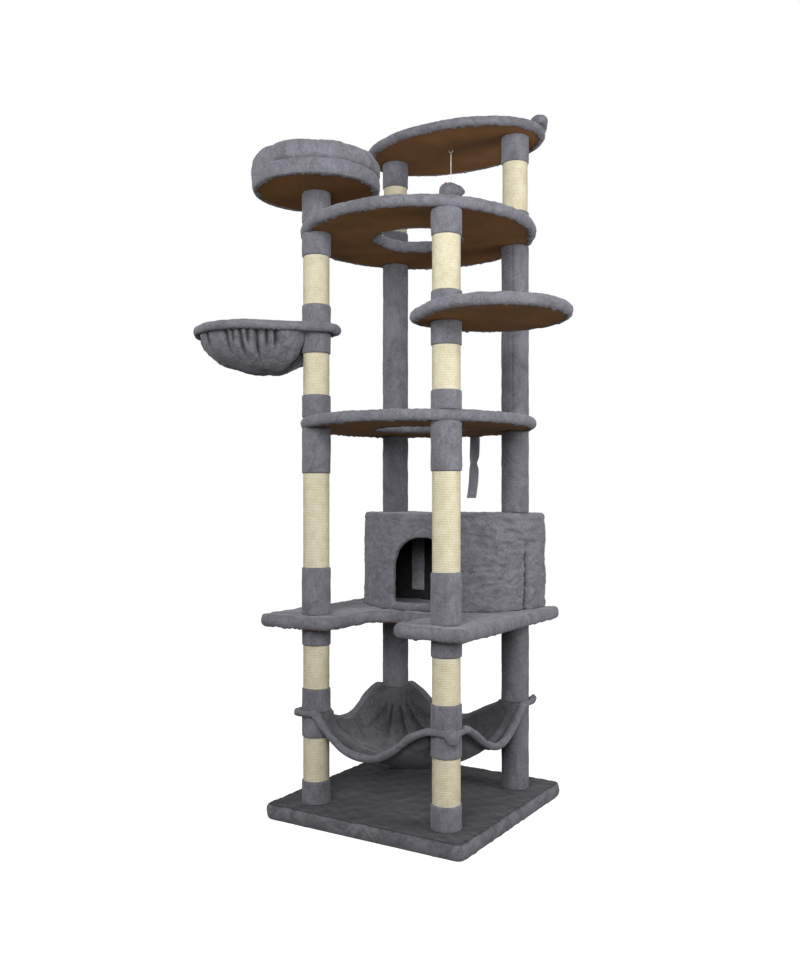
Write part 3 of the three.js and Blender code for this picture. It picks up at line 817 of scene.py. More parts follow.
def plush_deck(node, seed, lip=True, material=None, dents=1.0, nose=11 * MM, rounds=10):
    """Plush stretched over a board: a lumpy padded rim, a soft top and a stapled lip beneath."""
    low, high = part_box(node)
    under, top = low.z, high.z
    profile = rim_profile(under, top, lip, nose)
    points, faces, outline = [], [], []
    for number, loop in enumerate(top_loops(node)):
        loop = relaxed(resampled(loop, 3.4 * MM), rounds)
        inward = -loop_normals(loop) if number == 0 else loop_normals(loop)
        quads = grid_faces(len(profile), len(loop)) + len(points)
        faces += [tuple(f) for f in (quads[:, ::-1] if number else quads)]
        rings = swept_rim(loop, inward, profile, lip, seed)
        points.extend(rings.reshape(-1, 3))
        outline.append(rings[-1][:, :2])
    plan, triangles = filled_plan(outline)
    faces += [tuple(t + len(points)) for t in triangles]
    cover = np.column_stack([plan, np.full(len(plan), profile[-1][1])])
    obj = facing_out(new_mesh("plush_" + node, np.vstack([points, cover]), faces))
    swell(obj, 0.75 * PILE * dents, 38 * MM, seed)
    swell(obj, 0.35 * PILE * (0.6 + 0.4 * dents), 12 * MM, seed + 1)
    if not lip:
        not_below(obj, under + 0.2 * MM)
    return finish_piece(obj, material or PLUSH, [node])


def in_loop(points, loop, margin):
    """Whether plan points lie in a loop.

    With a margin over 0 they must be further than that from its points; with one below 0 those
    outside that are nearer than -margin count as well.
    """
    a, b = loop, np.roll(loop, -1, 0)
    inside = np.zeros(len(points), bool)
    nearest = np.full(len(points), np.inf)
    for (x1, y1), (x2, y2) in zip(a, b):
        crosses = (y1 > points[:, 1]) != (y2 > points[:, 1])
        if y1 != y2:
            inside ^= crosses & (points[:, 0] < (x2 - x1) * (points[:, 1] - y1) / (y2 - y1) + x1)
        nearest = np.minimum(nearest, plan_distances(points, (x1, y1)))
    if margin == 0:
        return inside
    return (inside & (nearest > margin)) if margin > 0 else (inside | (nearest < -margin))


def make_decks():
    plush_deck("base_cover", 11, lip=False, material=BASE_PLUSH, dents=0.5, rounds=5)
    for seed, (name, dents) in enumerate(DECK_DENTS.items()):
        plush_deck(name + "_cover", 40 + 9 * seed, dents=dents, nose=(5 if name == "bed" else 11) * MM,
                   rounds=5 if name == "condo_platform" else 10)
    for name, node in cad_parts.items():
        if name.endswith("_board"):
            dress(node, BOARD)


# ------------------------------------------------------------------ curves and tubes
def tube(name, path, radii, around=24, closed=False, section=None, up=(0, 0, 1)):
    """A tube along path; section(rows, angles) may reshape its round outline."""
    path = np.asarray(path, float)
    along = np.roll(path, -1, 0) - np.roll(path, 1, 0)
    if not closed:
        along[0], along[-1] = path[1] - path[0], path[-1] - path[-2]
    along = unit(along)
    side = unit(np.cross(along, up))
    over = np.cross(side, along)
    angles = circle(around)
    radii = np.broadcast_to(np.asarray(radii, float).reshape(-1, 1), (len(path), around))
    if section is not None:
        radii = radii * section(len(path), angles)
    points = (path[:, None] + side[:, None] * (radii * np.cos(angles))[..., None]
              + over[:, None] * (radii * np.sin(angles))[..., None])
    if closed:
        faces = grid_faces(len(path), around, closed_rows=True)
    else:
        faces = ring_faces(len(path), around)
    return facing_out(new_mesh(name, points.reshape(-1, 3), faces))


def stitches(name, path, material, length=5 * MM, gap=4 * MM, radius=0.8 * MM):
    """A running stitch: short thread dashes laid end to end along a path."""
    path = np.asarray(path, float)
    along = distances_along(path)
    around, thickness = 6, (0.35, 1, 1, 0.35)
    points, faces = [], []
    for start in np.arange(0, along[-1] - length, length + gap):
        line = at_distances(path, along, np.linspace(start, start + length, len(thickness)))
        way = (line[-1] - line[0]) / np.linalg.norm(line[-1] - line[0])
        side = np.cross(way, (0.31, 0.17, 0.93))
        side /= np.linalg.norm(side)
        over = np.cross(side, way)
        faces += ring_faces(len(thickness), around, base=len(points))
        points += [row + radius * thick * (side * math.cos(a) + over * math.sin(a))
                   for row, thick in zip(line, thickness) for a in circle(around)]
    return finish_piece(new_mesh(name, points, faces), material, [])


def remeshed(obj, voxel, smooth=0):
    """One even skin round obj, of faces about voxel across."""
    remesh = obj.modifiers.new("remesh", "REMESH")
    remesh.mode = "VOXEL"
    remesh.voxel_size = voxel
    if smooth:
        soft = obj.modifiers.new("smooth", "SMOOTH")
        soft.factor = 0.5
        soft.iterations = smooth
    return apply_modifiers(obj)


def run_cloth(obj, frames):
    """Steps the scene so that the cloth on obj settles, and applies it."""
    scene = bpy.context.scene
    cache = obj.modifiers["cloth"].point_cache
    cache.frame_start, cache.frame_end = 1, frames
    for number in range(1, frames + 1):
        scene.frame_set(number)
    apply_modifiers(obj)
    scene.frame_set(1)


def puffed(obj, voxel, cap, pressure=4.0, frames=20):
    """Stuffs a closed body: cloth under pressure, in which no point moves further than cap."""
    remeshed(obj, voxel)
    start = points_of(obj)
    settings = obj.modifiers.new("cloth", "CLOTH").settings
    settings.use_pressure = True
    settings.uniform_pressure_force = pressure
    settings.effector_weights.gravity = 0
    run_cloth(obj, frames)
    shift = points_of(obj) - start
    far = np.linalg.norm(shift, axis=1)[:, None]
    move_points(obj, start + shift * np.minimum(1, cap / np.maximum(far, 1e-9)))
    return obj


def subdivided(obj):
    obj.modifiers.new("finer", "SUBSURF").levels = 1
    return apply_modifiers(obj)


def not_below(obj, height):
    """Lifts the points that hang under height up to it, as if obj lay on a board there."""
    points = points_of(obj)
    points[:, 2] = np.maximum(points[:, 2], height)
    move_points(obj, points)


# ------------------------------------------------------------------ toy and strap
def make_toy():
    """The cord, from its staple down to the mouse, and all that rides with it."""
    rows = 70
    path = np.stack([np.full(rows, TOY["x"]), np.full(rows, TOY["y"]),
                     np.linspace(TOY["pivot"], TOY["end"], rows)], 1)
    taper = np.minimum(1, 0.25 + np.linspace(0, rows / 5, rows))

    def twisted(count, angles):
        turn = np.arange(count)[:, None] * 0.55
        return 1 + 0.14 * np.cos(3 * (angles[None, :] + turn))

    string = tube("toy_cord", path, taper * 1.15 * MM, 12, section=twisted, up=(0, 1, 0))
    finish_piece(string, CORD, ["toy_string"], body="toy_line")
    apex = np.array([TOY["x"], TOY["y"], TOY["end"]])
    pieces = [mouse_body(apex), *mouse_extras(apex)]


def mouse_body(apex):
    along = np.linspace(0, 1, 34)
    girth = MOUSE["radius"] * np.sin(math.pi * along ** 0.62) ** (0.5 + 0.15 * along)
    girth[0] = girth[-1] = 0.3 * MM
    spine = apex + np.column_stack([MOUSE["nose"] + MOUSE["length"] * along, 0 * along,
                                    -MOUSE["drop"] - MOUSE["slope"] * along])
    body = tube("toy_mouse_body", spine, girth, 28)
    points = points_of(body)
    flat_below = apex[2] - 1.75 * MOUSE["radius"]
    points[:, 2] = np.maximum(points[:, 2], flat_below + 0.3 * (points[:, 2] - flat_below))
    move_points(body, points)
    subdivided(body)
    swell(body, 0.7 * MM, 16 * MM, 901)
    return finish_piece(body, TOY_PLUSH, ["toy_mouse"], body="toy")


def mouse_extras(apex):
    """An ear and an eye on each side."""
    extras = []
    for side, word in ((-1, "left"), (1, "right")):
        mirror = np.array([1, side, 1])
        for name, spot, size, material in (("toy_ear_", MOUSE_EAR, 6.5 * MM, TOY_PLUSH),
                                           ("toy_eye_bead_", MOUSE_EYE, 3.6 * MM, RED_BEAD)):
            at = Vector(apex + np.array(spot["at"]) * mirror * MM)
            piece = cup(name + word, at, Vector(np.array(spot["faces"]) * mirror), size, 2.6 * MM)
            extras.append(finish_piece(piece, material, [], body="toy"))
    return extras


def cup(name, centre, normal, radius, thick):
    """A small round button, domed on the side that normal points to and dished on the other."""
    rows, around = 9, 20
    normal = np.array(normal.normalized())
    side = np.cross(normal, (0.2, 0.1, 0.97))
    side /= np.linalg.norm(side)
    over = np.cross(normal, side)
    profile = [(radius * math.sin(t * math.pi / 2), thick * math.cos(t * math.pi / 2))
               for t in np.linspace(0.04, 1, rows)]
    profile += [(radius * t, -0.25 * thick * (1 - t ** 2) - 0.25 * thick * (t > 0.9))
                for t in np.linspace(0.93, 0.04, rows)]
    points = [np.array(centre) + r * (side * math.cos(a) + over * math.sin(a)) + normal * h
              for r, h in profile for a in circle(around)]
    return facing_out(new_mesh(name, points, ring_faces(len(profile), around)))


def make_strap():
    """Webbing that hangs from its screw, creased halfway down, with an eyelet near its cut end."""
    top, end, bend = STRAP["top"], STRAP["end"], STRAP["bend"]
    rows = 60
    fall = np.linspace(0, 1, rows)
    z = top + (end - top) * fall
    free = np.clip((bend - 0.012 - z) / (bend - end), 0, 1)
    crease = bell(fall, 0.5, 0.06)
    x = STRAP["x"] - 0.013 * free ** 1.5
    y = STRAP["y"] + 0.0045 * np.sin(free * math.pi) - 0.004 * crease * (free > 0)
    # Places across the strap, and how thick it is there: its edges are beaded.
    across = np.array([-1, -0.985, -0.93, -0.8, -0.5, -0.2, 0, 0.2, 0.5, 0.8, 0.93, 0.985, 1.0])
    bead = np.array([0.35, 0.8, 1.15, 1.05, 1, 1, 1, 1, 1, 1.05, 1.15, 0.8, 0.35])
    thick = 0.5 * STRAP["thick"] * bead
    half = STRAP["width"] / 2
    curl = 0.0018 * np.sin(fall * 9.0 + 0.6)
    rings = []
    for i in range(rows):
        edge = half * (1 - 0.28 * crease[i] - 0.05 * fall[i])
        bow = curl[i] * across ** 2
        front, back = (np.stack([x[i] + edge * across, y[i] + bow + side * thick,
                                 np.full(len(across), z[i])], 1) for side in (-1, 1))
        rings.append(np.vstack([front, back[::-1]]))
    strap = facing_out(new_mesh("strap_webbing", np.vstack(rings), ring_faces(rows, 2 * len(across))))
    strap.data.materials.append(WEBBING)
    eyelet = ring("strap_eyelet", (x[-5], y[-5], STRAP["hole"]), 4.2 * MM, 1.3 * MM, STRAP["thick"])
    finish_piece(eyelet, STEEL, [], body="strap")
    screw = cup("strap_screw", Vector((STRAP["x"], STRAP["y"] + 0.0014, STRAP["screw"])),
                Vector((0, 1, 0)), 7 * MM, 2.8 * MM)
    finish_piece(screw, STEEL, [])
    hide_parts("wall_strap", "strap_anchor")
    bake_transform(strap)


def ring(name, centre, radius, wire, depth):
    """A pressed eyelet: a flanged ring whose axis lies along Y."""
    around, count = 28, 12
    profile = [(radius + wire * math.cos(a), (depth * 0.5 + 0.5 * MM) * math.sin(a))
               for a in circle(count)]
    points = [(centre[0] + r * math.cos(a), centre[1] + h, centre[2] + r * math.sin(a))
              for a in circle(around) for r, h in profile]
    return facing_out(new_mesh(name, points, grid_faces(around, count, closed_rows=True)))


# ------------------------------------------------------------------ condo
def condo_loop(inset):
    """The condo's plan: a half circle in front and a straight back wall."""
    radius, back = CONDO["radius"] - inset, CONDO["back"] - inset
    arc = [(CONDO["x"] + radius * math.cos(a), CONDO["y"] + radius * math.sin(a))
           for a in np.linspace(math.pi, TURN, 90)]
    loop = np.array(arc + [(CONDO["x"] + radius, back), (CONDO["x"] - radius, back)])
    return relaxed(resampled(loop, 5 * MM), 6)


def stacked(name, layers):
    """A closed body whose outline at each (inset, height) is the condo's plan."""
    count = len(condo_loop(0))
    rings = []
    for inset, z in layers:
        loop = condo_loop(inset)
        at = np.arange(count) / count * len(loop)
        low = at.astype(int) % len(loop)
        loop = loop[low] + (loop[(low + 1) % len(loop)] - loop[low]) * (at % 1)[:, None]
        rings.append(np.column_stack([loop, np.full(count, z)]))
    return facing_out(new_mesh(name, np.vstack(rings), ring_faces(len(rings), count, climbing=True)))


def combined(obj, other, operation):
    """obj cut by other or joined with it. The other is used up."""
    cut = obj.modifiers.new("cut", "BOOLEAN")
    cut.operation, cut.solver, cut.object = operation, "EXACT", other
    apply_modifiers(obj)
    bpy.data.objects.remove(other)
    return obj


def doorway_cutter():
    """An upright arch that goes right through the condo's front wall."""
    half, spring = DOOR["width"] / 2, DOOR["apex"] - DOOR["width"] / 2
    reach = 0.09
    outline = [(DOOR["x"] - half, DOOR["sill"]), (DOOR["x"] + half, DOOR["sill"])]
    outline += [(DOOR["x"] + half * math.cos(a), spring + half * math.sin(a))
                for a in np.linspace(0, math.pi, 24)]
    points = [(x, y, z) for y in (-reach, reach) for x, z in outline]
    return facing_out(new_mesh("doorway", points, ring_faces(2, len(outline))))


def condo_body():
    """The condo's walls and roof, hollow, with the doorway cut out and a rolled sill."""
    floor, roof = CONDO["floor"], CONDO["roof"]
    layers = [(1.5 * MM, floor), (-1.5 * MM, floor + 0.004), (-2 * MM, floor + 0.012),
              (0, floor + 0.03), (0, roof - 0.012), (1.5 * MM, roof - 0.006),
              (4 * MM, roof - 0.002), (9 * MM, roof)]
    shell = stacked("plush_condo", layers)
    room = stacked("room", [(CONDO["wall"], floor - 0.02), (CONDO["wall"], CONDO["ceiling"])])
    combined(shell, room, "DIFFERENCE")
    combined(shell, doorway_cutter(), "DIFFERENCE")
    arc = [math.radians(a) for a in np.linspace(253, 292, 24)]
    middle = CONDO["radius"] - 0.5 * CONDO["wall"]
    sill = [(CONDO["x"] + middle * math.cos(a), CONDO["y"] + middle * math.sin(a), DOOR["sill"] - 0.010)
            for a in arc]
    combined(shell, tube("sill", sill, 12.5 * MM, 20), "UNION")
    return remeshed(shell, 4.2 * MM, smooth=5)


def condo_creases(angle, height):
    """How deep the skin is creased: creases fan out from the gathered seam near the right end."""
    arc_length = np.radians(angle) * CONDO["radius"]
    seam_at = math.radians(CONDO["seam"]) * CONDO["radius"]
    run = np.maximum(0.02, seam_at + 0.06 - arc_length)
    spread = (height - 0.16) / (run + 0.10)
    fan = np.stack([run * 0.22, spread * 0.17, 0.35 * height], 1)
    level = np.stack([arc_length * 0.16, height + 0.06 * arc_length, 0 * height], 1)
    shallow = np.stack([arc_length * 0.3, height - 0.25 * arc_length, 0 * height], 1)
    creases = (1.1 * np.abs(relief(fan, 15 * MM, 51, 12)) ** 0.8
               + 0.8 * np.abs(relief(level, 24 * MM, 52, 12)) ** 0.8 * smoothstep(0.08, 0.2, height)
               + 0.5 * np.abs(relief(shallow, 30 * MM, 55, 12)) ** 0.8)
    where = smoothstep(284, 306, angle) * (1 - smoothstep(350, 359, angle))
    where = where * smoothstep(0, 0.05, height) * (1 - smoothstep(0.24, 0.264, height))
    where = where * (0.45 + 0.55 * smoothstep(300, 330, angle))
    return 4.2 * MM * where * (creases - 1.35)


def make_condo():
    """One plush skin over wall and roof, with a rolled doorway, creases and a gathered seam."""
    shell = condo_body()
    centre = (CONDO["x"], CONDO["y"])
    points, normals = points_of(shell), normals_of(shell)
    angle, out = bearings(points, centre), plan_distances(points, centre)
    height = points[:, 2] - CONDO["floor"]
    skin = smoothstep(CONDO["radius"] - 0.012, CONDO["radius"] - 0.004, out)
    skin = np.maximum(skin, smoothstep(CONDO["back"] - 0.012, CONDO["back"] - 0.004, points[:, 1]))
    skin = np.maximum(skin, smoothstep(CONDO["roof"] - 0.010, CONDO["roof"] - 0.004, points[:, 2]))
    lean = CONDO["seam"] + 10 * (height - 0.1)
    seam = bell(angle, lean, 1.3) * (1 - smoothstep(0.14, 0.2, height))
    beside = bell(angle - lean, 4.2, 2.4) * (1 - smoothstep(0.13, 0.18, height))
    under_roof = bell(height, 0.252, 0.006) * (1 + 1.2 * smoothstep(300, 340, angle))
    brushed = np.abs(relief(points * (1, 1, 1.6), 34 * MM, 56, 12)) ** 0.8 - 0.6
    dents = relief(points, 60 * MM, 53)
    shift = skin * (-condo_creases(angle, height) - 13 * MM * seam + 6 * MM * beside
                    - 1.6 * MM * under_roof * (height < 0.266) - 1.1 * MM * brushed
                    + 1.3 * MM * dents) + 0.5 * MM * relief(points, 16 * MM, 54)
    move_points(shell, points + normals * shift[:, None])
    finish_piece(shell, CONDO_PLUSH, ["condo_wall", "condo_roof"])
    # Faces inside the condo take the darker copy: painted shade.
    shell.data.materials.append(CONDO_INSIDE_SHADE)
    inside = (out < CONDO["radius"] - 0.0165) & (points[:, 2] < CONDO["ceiling"] + 0.002)
    inside &= (points[:, 1] < CONDO["back"] - 0.0165)
    inside &= ~((points[:, 2] < DOOR["sill"] + 0.006) & (angle > 250) & (angle < 295))
    for face in shell.data.polygons:
        face.material_index = int(all(inside[i] for i in face.vertices))
    # Painted shade along the gathered seam's groove.
    mark_painted_fold_shade(shell, np.where((height < 0.17) & ~inside, bell(angle, lean, 0.9), 0))

    # The strip inside the doorway is painted lighter: painted light on the back wall.
    low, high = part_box("condo_inner_strip")
    strip = rounded_slab("condo_strip_plush", low, high - low, 3 * MM)
    swell(strip, 0.5 * MM, 25 * MM, 61)
    finish_piece(strip, STRIP_PAINTED_LIGHT, ["condo_inner_strip"])


def rounded_slab(name, low, size, radius):
    """A long soft slab with round edges, standing on its narrow end."""
    z = spaced(low.z, low.z + size.z, 8 * MM)
    corners = []
    for sx, sy, start in ((1, 1, 0), (-1, 1, 90), (-1, -1, 180), (1, -1, 270)):
        for k in range(5):
            a = math.radians(start + 22.5 * k)
            corners.append((low.x + size.x / 2 + sx * (size.x / 2 - radius) + radius * math.cos(a),
                            low.y + size.y / 2 + sy * (size.y / 2 - radius) + radius * math.sin(a)))
    points = [(x, y, h) for h in z for x, y in corners]
    return facing_out(new_mesh(name, points, ring_faces(len(z), len(corners), climbing=True)))


# ------------------------------------------------------------------ bolsters
def make_bed_bolster():
    """A stuffed ring with an upright outer side, sewn down over the rim of the bed's board."""
    low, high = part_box("bed_bolster")
    centre = ((low.x + high.x) / 2, (low.y + high.y) / 2)
    outer = (high.x - low.x) / 2
    inset, height = catmull(BOLSTER_SECTION, 36).T
    turn = circle(120)
    degrees = np.degrees(turn)
    # On this stretch the cover is one piece with the band below, so it runs further down.
    whole = smoothstep(140, 160, degrees) * (1 - smoothstep(259, 263, degrees))
    rings = []
    for a, w in zip(turn, whole):
        skirt = (1 - smoothstep(-4, 14, height)) * (1 - smoothstep(6, 14, inset)) * w
        r = outer - (inset - 4 * skirt) * MM
        z = low.z + (height - 40 * skirt) * MM
        rings.append(np.column_stack([centre[0] + r * math.cos(a), centre[1] + r * math.sin(a), z]))
    bolster = new_mesh("bed_bolster_plush", np.vstack(rings),
                       grid_faces(len(turn), len(inset), closed_rows=True))
    puffed(facing_out(bolster), 4.5 * MM, 2.5 * MM)
    subdivided(bolster)
    points, normals = points_of(bolster), normals_of(bolster)
    angle = bearings(points, centre)
    shift = 1.5 * MM * relief(points, 60 * MM, 71) + 0.6 * MM * relief(points, 14 * MM, 72)
    for at, depth in BOLSTER_SEAMS:
        shift = shift - depth * bell(angle, at, 1.0)
    points = points + normals * shift[:, None]
    resting = plan_distances(points, centre) < outer - 16 * MM
    points[resting, 2] = np.maximum(points[resting, 2], low.z)
    move_points(bolster, points)
    finish_piece(bolster, PLUSH, ["bed_bolster"])


def make_top_bolster():
    """A stuffed roll along the back half of the top perch, fuller at its right-hand end."""
    rows = 60
    angles = np.radians(np.linspace(-5.4, 185.4, rows))
    reach_x, reach_y = TOP["half_x"] - TOP["inset"], TOP["half_y"] - TOP["inset"]
    low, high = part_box("top_perch_bolster")
    tall = high.z - low.z
    path = np.stack([TOP["x"] + reach_x * np.cos(angles), TOP["y"] + reach_y * np.sin(angles),
                     np.full(rows, low.z + tall / 2)], 1)
    ends = np.minimum(np.arange(rows), np.arange(rows)[::-1]) * 17 * MM
    shrink = np.sqrt(np.clip(1 - (1 - np.clip(ends / (24 * MM), 0, 1)) ** 2, 0.02, 1))

    def flattened(count, turn):
        height = tall / 46 / MM
        return (1 / np.sqrt((np.cos(turn) / 1.0) ** 2 + (np.sin(turn) / height) ** 2))[None, :]

    # The fuller end hangs out over the rim.
    full = 1 - smoothstep(0, 7, np.arange(rows))
    path[:, 0] += 9 * MM * full
    path[:, 2] -= 3 * MM * full
    roll = tube("top_bolster_plush", path, shrink * (22 + 5 * full) * MM, 24, section=flattened)
    puffed(roll, 5 * MM, 5 * MM)
    subdivided(roll)
    swell(roll, 1.2 * MM, 60 * MM, 81)
    swell(roll, 0.5 * MM, 14 * MM, 82)
    not_below(roll, low.z + 0.2 * MM)
    finish_piece(roll, PLUSH, ["top_perch_bolster"])


# ------------------------------------------------------------------ basket
def hoop_line(count):
    """The hoop's middle: round the post, narrowing, and out round the bowl."""
    post, bowl = np.array(POST_FRONT_LEFT), np.array(BASKET["centre"])
    way = math.atan2(*(bowl - post)[::-1])

    def at(centre, radius, degrees):
        a = way + math.radians(degrees)
        return centre[0] + radius * math.cos(a), centre[1] + radius * math.sin(a)

    points = [at(post, BASKET["round_post"], a) for a in (110, 145, 180, 215, 250)]
    points += [at(bowl, BASKET["radius"], a) for a in (-142, -106, -71, -35, 0, 35, 71, 106, 142)]
    loop = catmull(points, 600)
    return resampled(loop, TURN * 0.25 / count)


def make_hoop(line):
    """The plush hem over the hoop's wire, with small gathers along its under side."""
    path = np.column_stack([line, np.full(len(line), BASKET["z"])])

    def gathered(count, turn):
        rows = np.arange(count)[:, None] / count * TURN
        ripple = np.sin(rows * 71 + 2 * np.sin(rows * 9)) * np.clip(-np.sin(turn), 0, 1)[None, :]
        lumps = np.sin(rows * 13 + 1.3) * np.cos(turn + 0.6)[None, :]
        return 1 + 0.05 * ripple + 0.03 * lumps

    hoop = tube("basket_hem", path, 12.6 * MM, 26, closed=True, section=gathered)
    swell(hoop, 0.5 * MM, 20 * MM, 91)
    return finish_piece(hoop, PLUSH, ["basket_hoop"])


def pouch_edge(line, bowl, way, apart):
    """The pouch's upper edge: just inside the hoop, and short of the post."""
    across = np.array([-way[1], way[0]])
    line = resampled(line - outward(line) * (3 * MM), 3.2 * MM)
    reach, aside = (line - bowl) @ way, (line - bowl) @ across
    beside_post = np.sqrt(np.clip(BASKET["clear"] ** 2 - aside ** 2, 0, None))
    limit = apart - np.maximum(beside_post, 0.014)
    return relaxed(line - way * np.maximum(0, reach - limit)[:, None], 3)


def pouch_gathers(facing, t):
    """How far the cloth stands out in its gathers, and how deep each point lies in one, for painted shade.
    """
    waves = np.sin(9 * facing + 1.5 * np.sin(2 * facing))
    gathers = BASKET["ripple"] * (waves * bell(t, 0, 0.3))
    creased = np.zeros(gathers.shape)
    for degrees, deep, long in PLEATS:
        aside = BASKET["radius"] * ((facing - math.radians(degrees) + math.pi) % TURN - math.pi)
        valley = 1 / (1 + (aside / np.where(aside < 0, 3.5 * MM, 9 * MM)) ** 2)
        gathers = gathers - deep * MM * valley * (1 - smoothstep(0.25 * long, long, t))
        # creased: how deep a point lies in a valley, which gets painted shade.
        creased = np.maximum(creased, valley * (1 - smoothstep(0.4 * long, 1.15 * long, t)))
    return gathers * smoothstep(-0.02, 0.06, t), creased


def make_basket():
    """A hoop in a plush hem, and a pouch that hangs from it and is deepest nearer to the post."""
    line = hoop_line(320)
    hoop = make_hoop(line)
    post, bowl = np.array(POST_FRONT_LEFT), np.array(BASKET["centre"])
    apart = np.linalg.norm(post - bowl)
    way = (post - bowl) / apart
    edge = pouch_edge(line, bowl, way, apart)
    deepest = bowl + way * BASKET["lean"]
    count, rows = len(edge), 54
    t = np.linspace(0, 1, rows)[:, None]
    from_bowl = edge - bowl
    gathers, creased = pouch_gathers(np.arctan2(from_bowl[:, 1], from_bowl[:, 0]), t)
    radial = np.cos(t * math.pi / 2) ** 0.92
    side = (edge - deepest)[None] * radial[..., None]
    far = np.maximum(np.linalg.norm(edge - deepest, axis=1), 1e-6)
    clear_of_post = smoothstep(0.044, 0.07, np.linalg.norm(edge - post, axis=1))
    push = gathers * (clear_of_post / far)[None]
    plan = deepest + side * (1 + push / np.maximum(radial, 0.3))[..., None]
    z = BASKET["z"] - 9 * MM - BASKET["depth"] * np.sin(t * math.pi / 2) ** 1.05
    z = np.broadcast_to(z, (rows, count)).copy()
    outer = np.concatenate([plan, z[..., None]], -1)
    sag = relief(outer.reshape(-1, 3), 45 * MM, 92).reshape(rows, count)
    outer[..., 2] += 2.2 * MM * sag * np.sin(t * math.pi / 2)
    inner = outer.copy()
    inner[..., :2] = deepest + (outer[..., :2] - deepest) * (1 - 4.5 * MM / far)[None, :, None]
    inner[..., 2] += 5 * MM * np.sin(t * math.pi / 2)
    inner[-1], outer[-1] = inner[-1].mean(0), outer[-1].mean(0)
    size = rows * count
    quads = grid_faces(rows, count)
    faces = [tuple(f) for f in quads] + [tuple(f + size) for f in quads[:, ::-1]]
    faces += [(i, (i + 1) % count, size + (i + 1) % count, size + i) for i in range(count)]
    points = np.concatenate([outer, inner]).reshape(-1, 3)
    pouch = facing_out(new_mesh("basket_pouch_plush", points, faces))
    swell(pouch, 0.6 * MM, 12 * MM, 93)
    finish_piece(pouch, POUCH_PLUSH, ["basket_pouch"])
    # Merging drops points only where the cloth closes at the bottom, after all the creased ones.
    # These depths give the pouch painted shade in its pleats.
    depth = np.concatenate([creased.ravel(), np.zeros(size)])
    mark_painted_fold_shade(pouch, depth[:len(pouch.data.vertices)])
    hem_line = np.column_stack([edge + outward(edge) * 9.6 * MM,
                                np.full(count, BASKET["z"] - 11.4 * MM)])
    thread = stitches("basket_stitches", hem_line[clear_of_post > 0.5], THREAD, 7 * MM, 5 * MM,
                      1.9 * MM)


# ------------------------------------------------------------------ hammock
def smooth_rows(grid, at):
    """A grid of points between its rows, on smooth curves through them."""
    first, last = 2 * grid[:1] - grid[1:2], 2 * grid[-1:] - grid[-2:-1]
    padded = np.concatenate([first, grid, last])
    low = np.clip(np.floor(at).astype(int), 0, len(grid) - 2)
    return between(*(padded[low + k] for k in range(4)), (at - low)[:, None, None])


def hammock_start(flat):
    """Where each point of the flat cloth hangs at first, before it settles."""
    hole, span = HAMMOCK["hole"], HAMMOCK["span"]
    across = np.clip(np.abs(flat) / hole, 0, 1)
    hang = 1 - across ** 2
    a, b = hang[:, 0], hang[:, 1]
    sag = HAMMOCK["edge_sag"] * (a + b) - (2 * HAMMOCK["edge_sag"] - HAMMOCK["middle_sag"]) * a * b
    scaled = np.sign(flat) * np.where(np.abs(flat) < hole, np.abs(flat) * span / hole,
                                      span + np.abs(flat) - hole)
    return np.column_stack([np.array(POST_CENTRE) + scaled, HAMMOCK["z"] - sag])


def place_hems(flat, start):
    """Lays each hem along its sagging line, and tells which points it holds there."""
    hole = HAMMOCK["hole"]
    held = np.zeros(len(flat), bool)
    for (axis, side), line in HEM_SAGS.items():
        over = side * flat[:, axis] - hole
        way = (flat[:, 1 - axis] + hole) / (2 * hole)
        hem = (over > 0.015) & (way >= 0) & (way <= 1)
        curve = catmull(line, 200, closed=False)
        sag = np.interp(way, curve[:, 0], curve[:, 1]) * MM
        hang = np.clip(sag / 0.09, 0, 1)
        start[hem, axis] -= side * (HAMMOCK["pull_in"] * hang)[hem]
        start[hem, 2] = (HAMMOCK["z"] - sag - 0.35 * (HAMMOCK["half"] - hole - over) * hang)[hem]
        held |= hem
    return held


def clamp_corners(flat, start):
    """Sets the points that the posts hold: round each hole, and the free corner beyond it."""
    held = np.zeros(len(flat), bool)
    for (sx, sy), (stand, lift) in CORNER_LIFTS.items():
        sides = np.array([sx, sy])
        offset = flat - sides * HAMMOCK["hole"]
        u, v = (offset * sides).T
        r = np.hypot(u, v)
        tip = (u > 0) & (v > 0)
        beyond = smoothstep(0.030, 0.071, (u + v) / math.sqrt(2))
        height = HAMMOCK["z"] + stand + lift * beyond
        # The free corner is rounded: its last square is drawn in to a quarter of a disc.
        start_at = HAMMOCK["half"] - HAMMOCK["hole"] - HAMMOCK["round"]
        a, b = (np.clip((w - start_at) / HAMMOCK["round"], 0, 1) for w in (u, v))
        drawn = np.column_stack([a * (np.sqrt(1 - b * b / 2) - 1), b * (np.sqrt(1 - a * a / 2) - 1)])
        place = np.array(POST_CENTRE) + sides * (HAMMOCK["span"] + HAMMOCK["round"] * drawn) + offset
        start[tip] = np.column_stack([place, height])[tip]
        clamp = smoothstep(HAMMOCK["clamp"], HAMMOCK["clamp"] + 0.016, r)
        near = r < HAMMOCK["clamp"] + 0.016
        start[near, 2] = (HAMMOCK["z"] + (start[:, 2] - HAMMOCK["z"]) * clamp)[near]
        flat_part = r < HAMMOCK["clamp"]
        start[flat_part, :2] = place[flat_part]
        held |= tip | flat_part
    return held


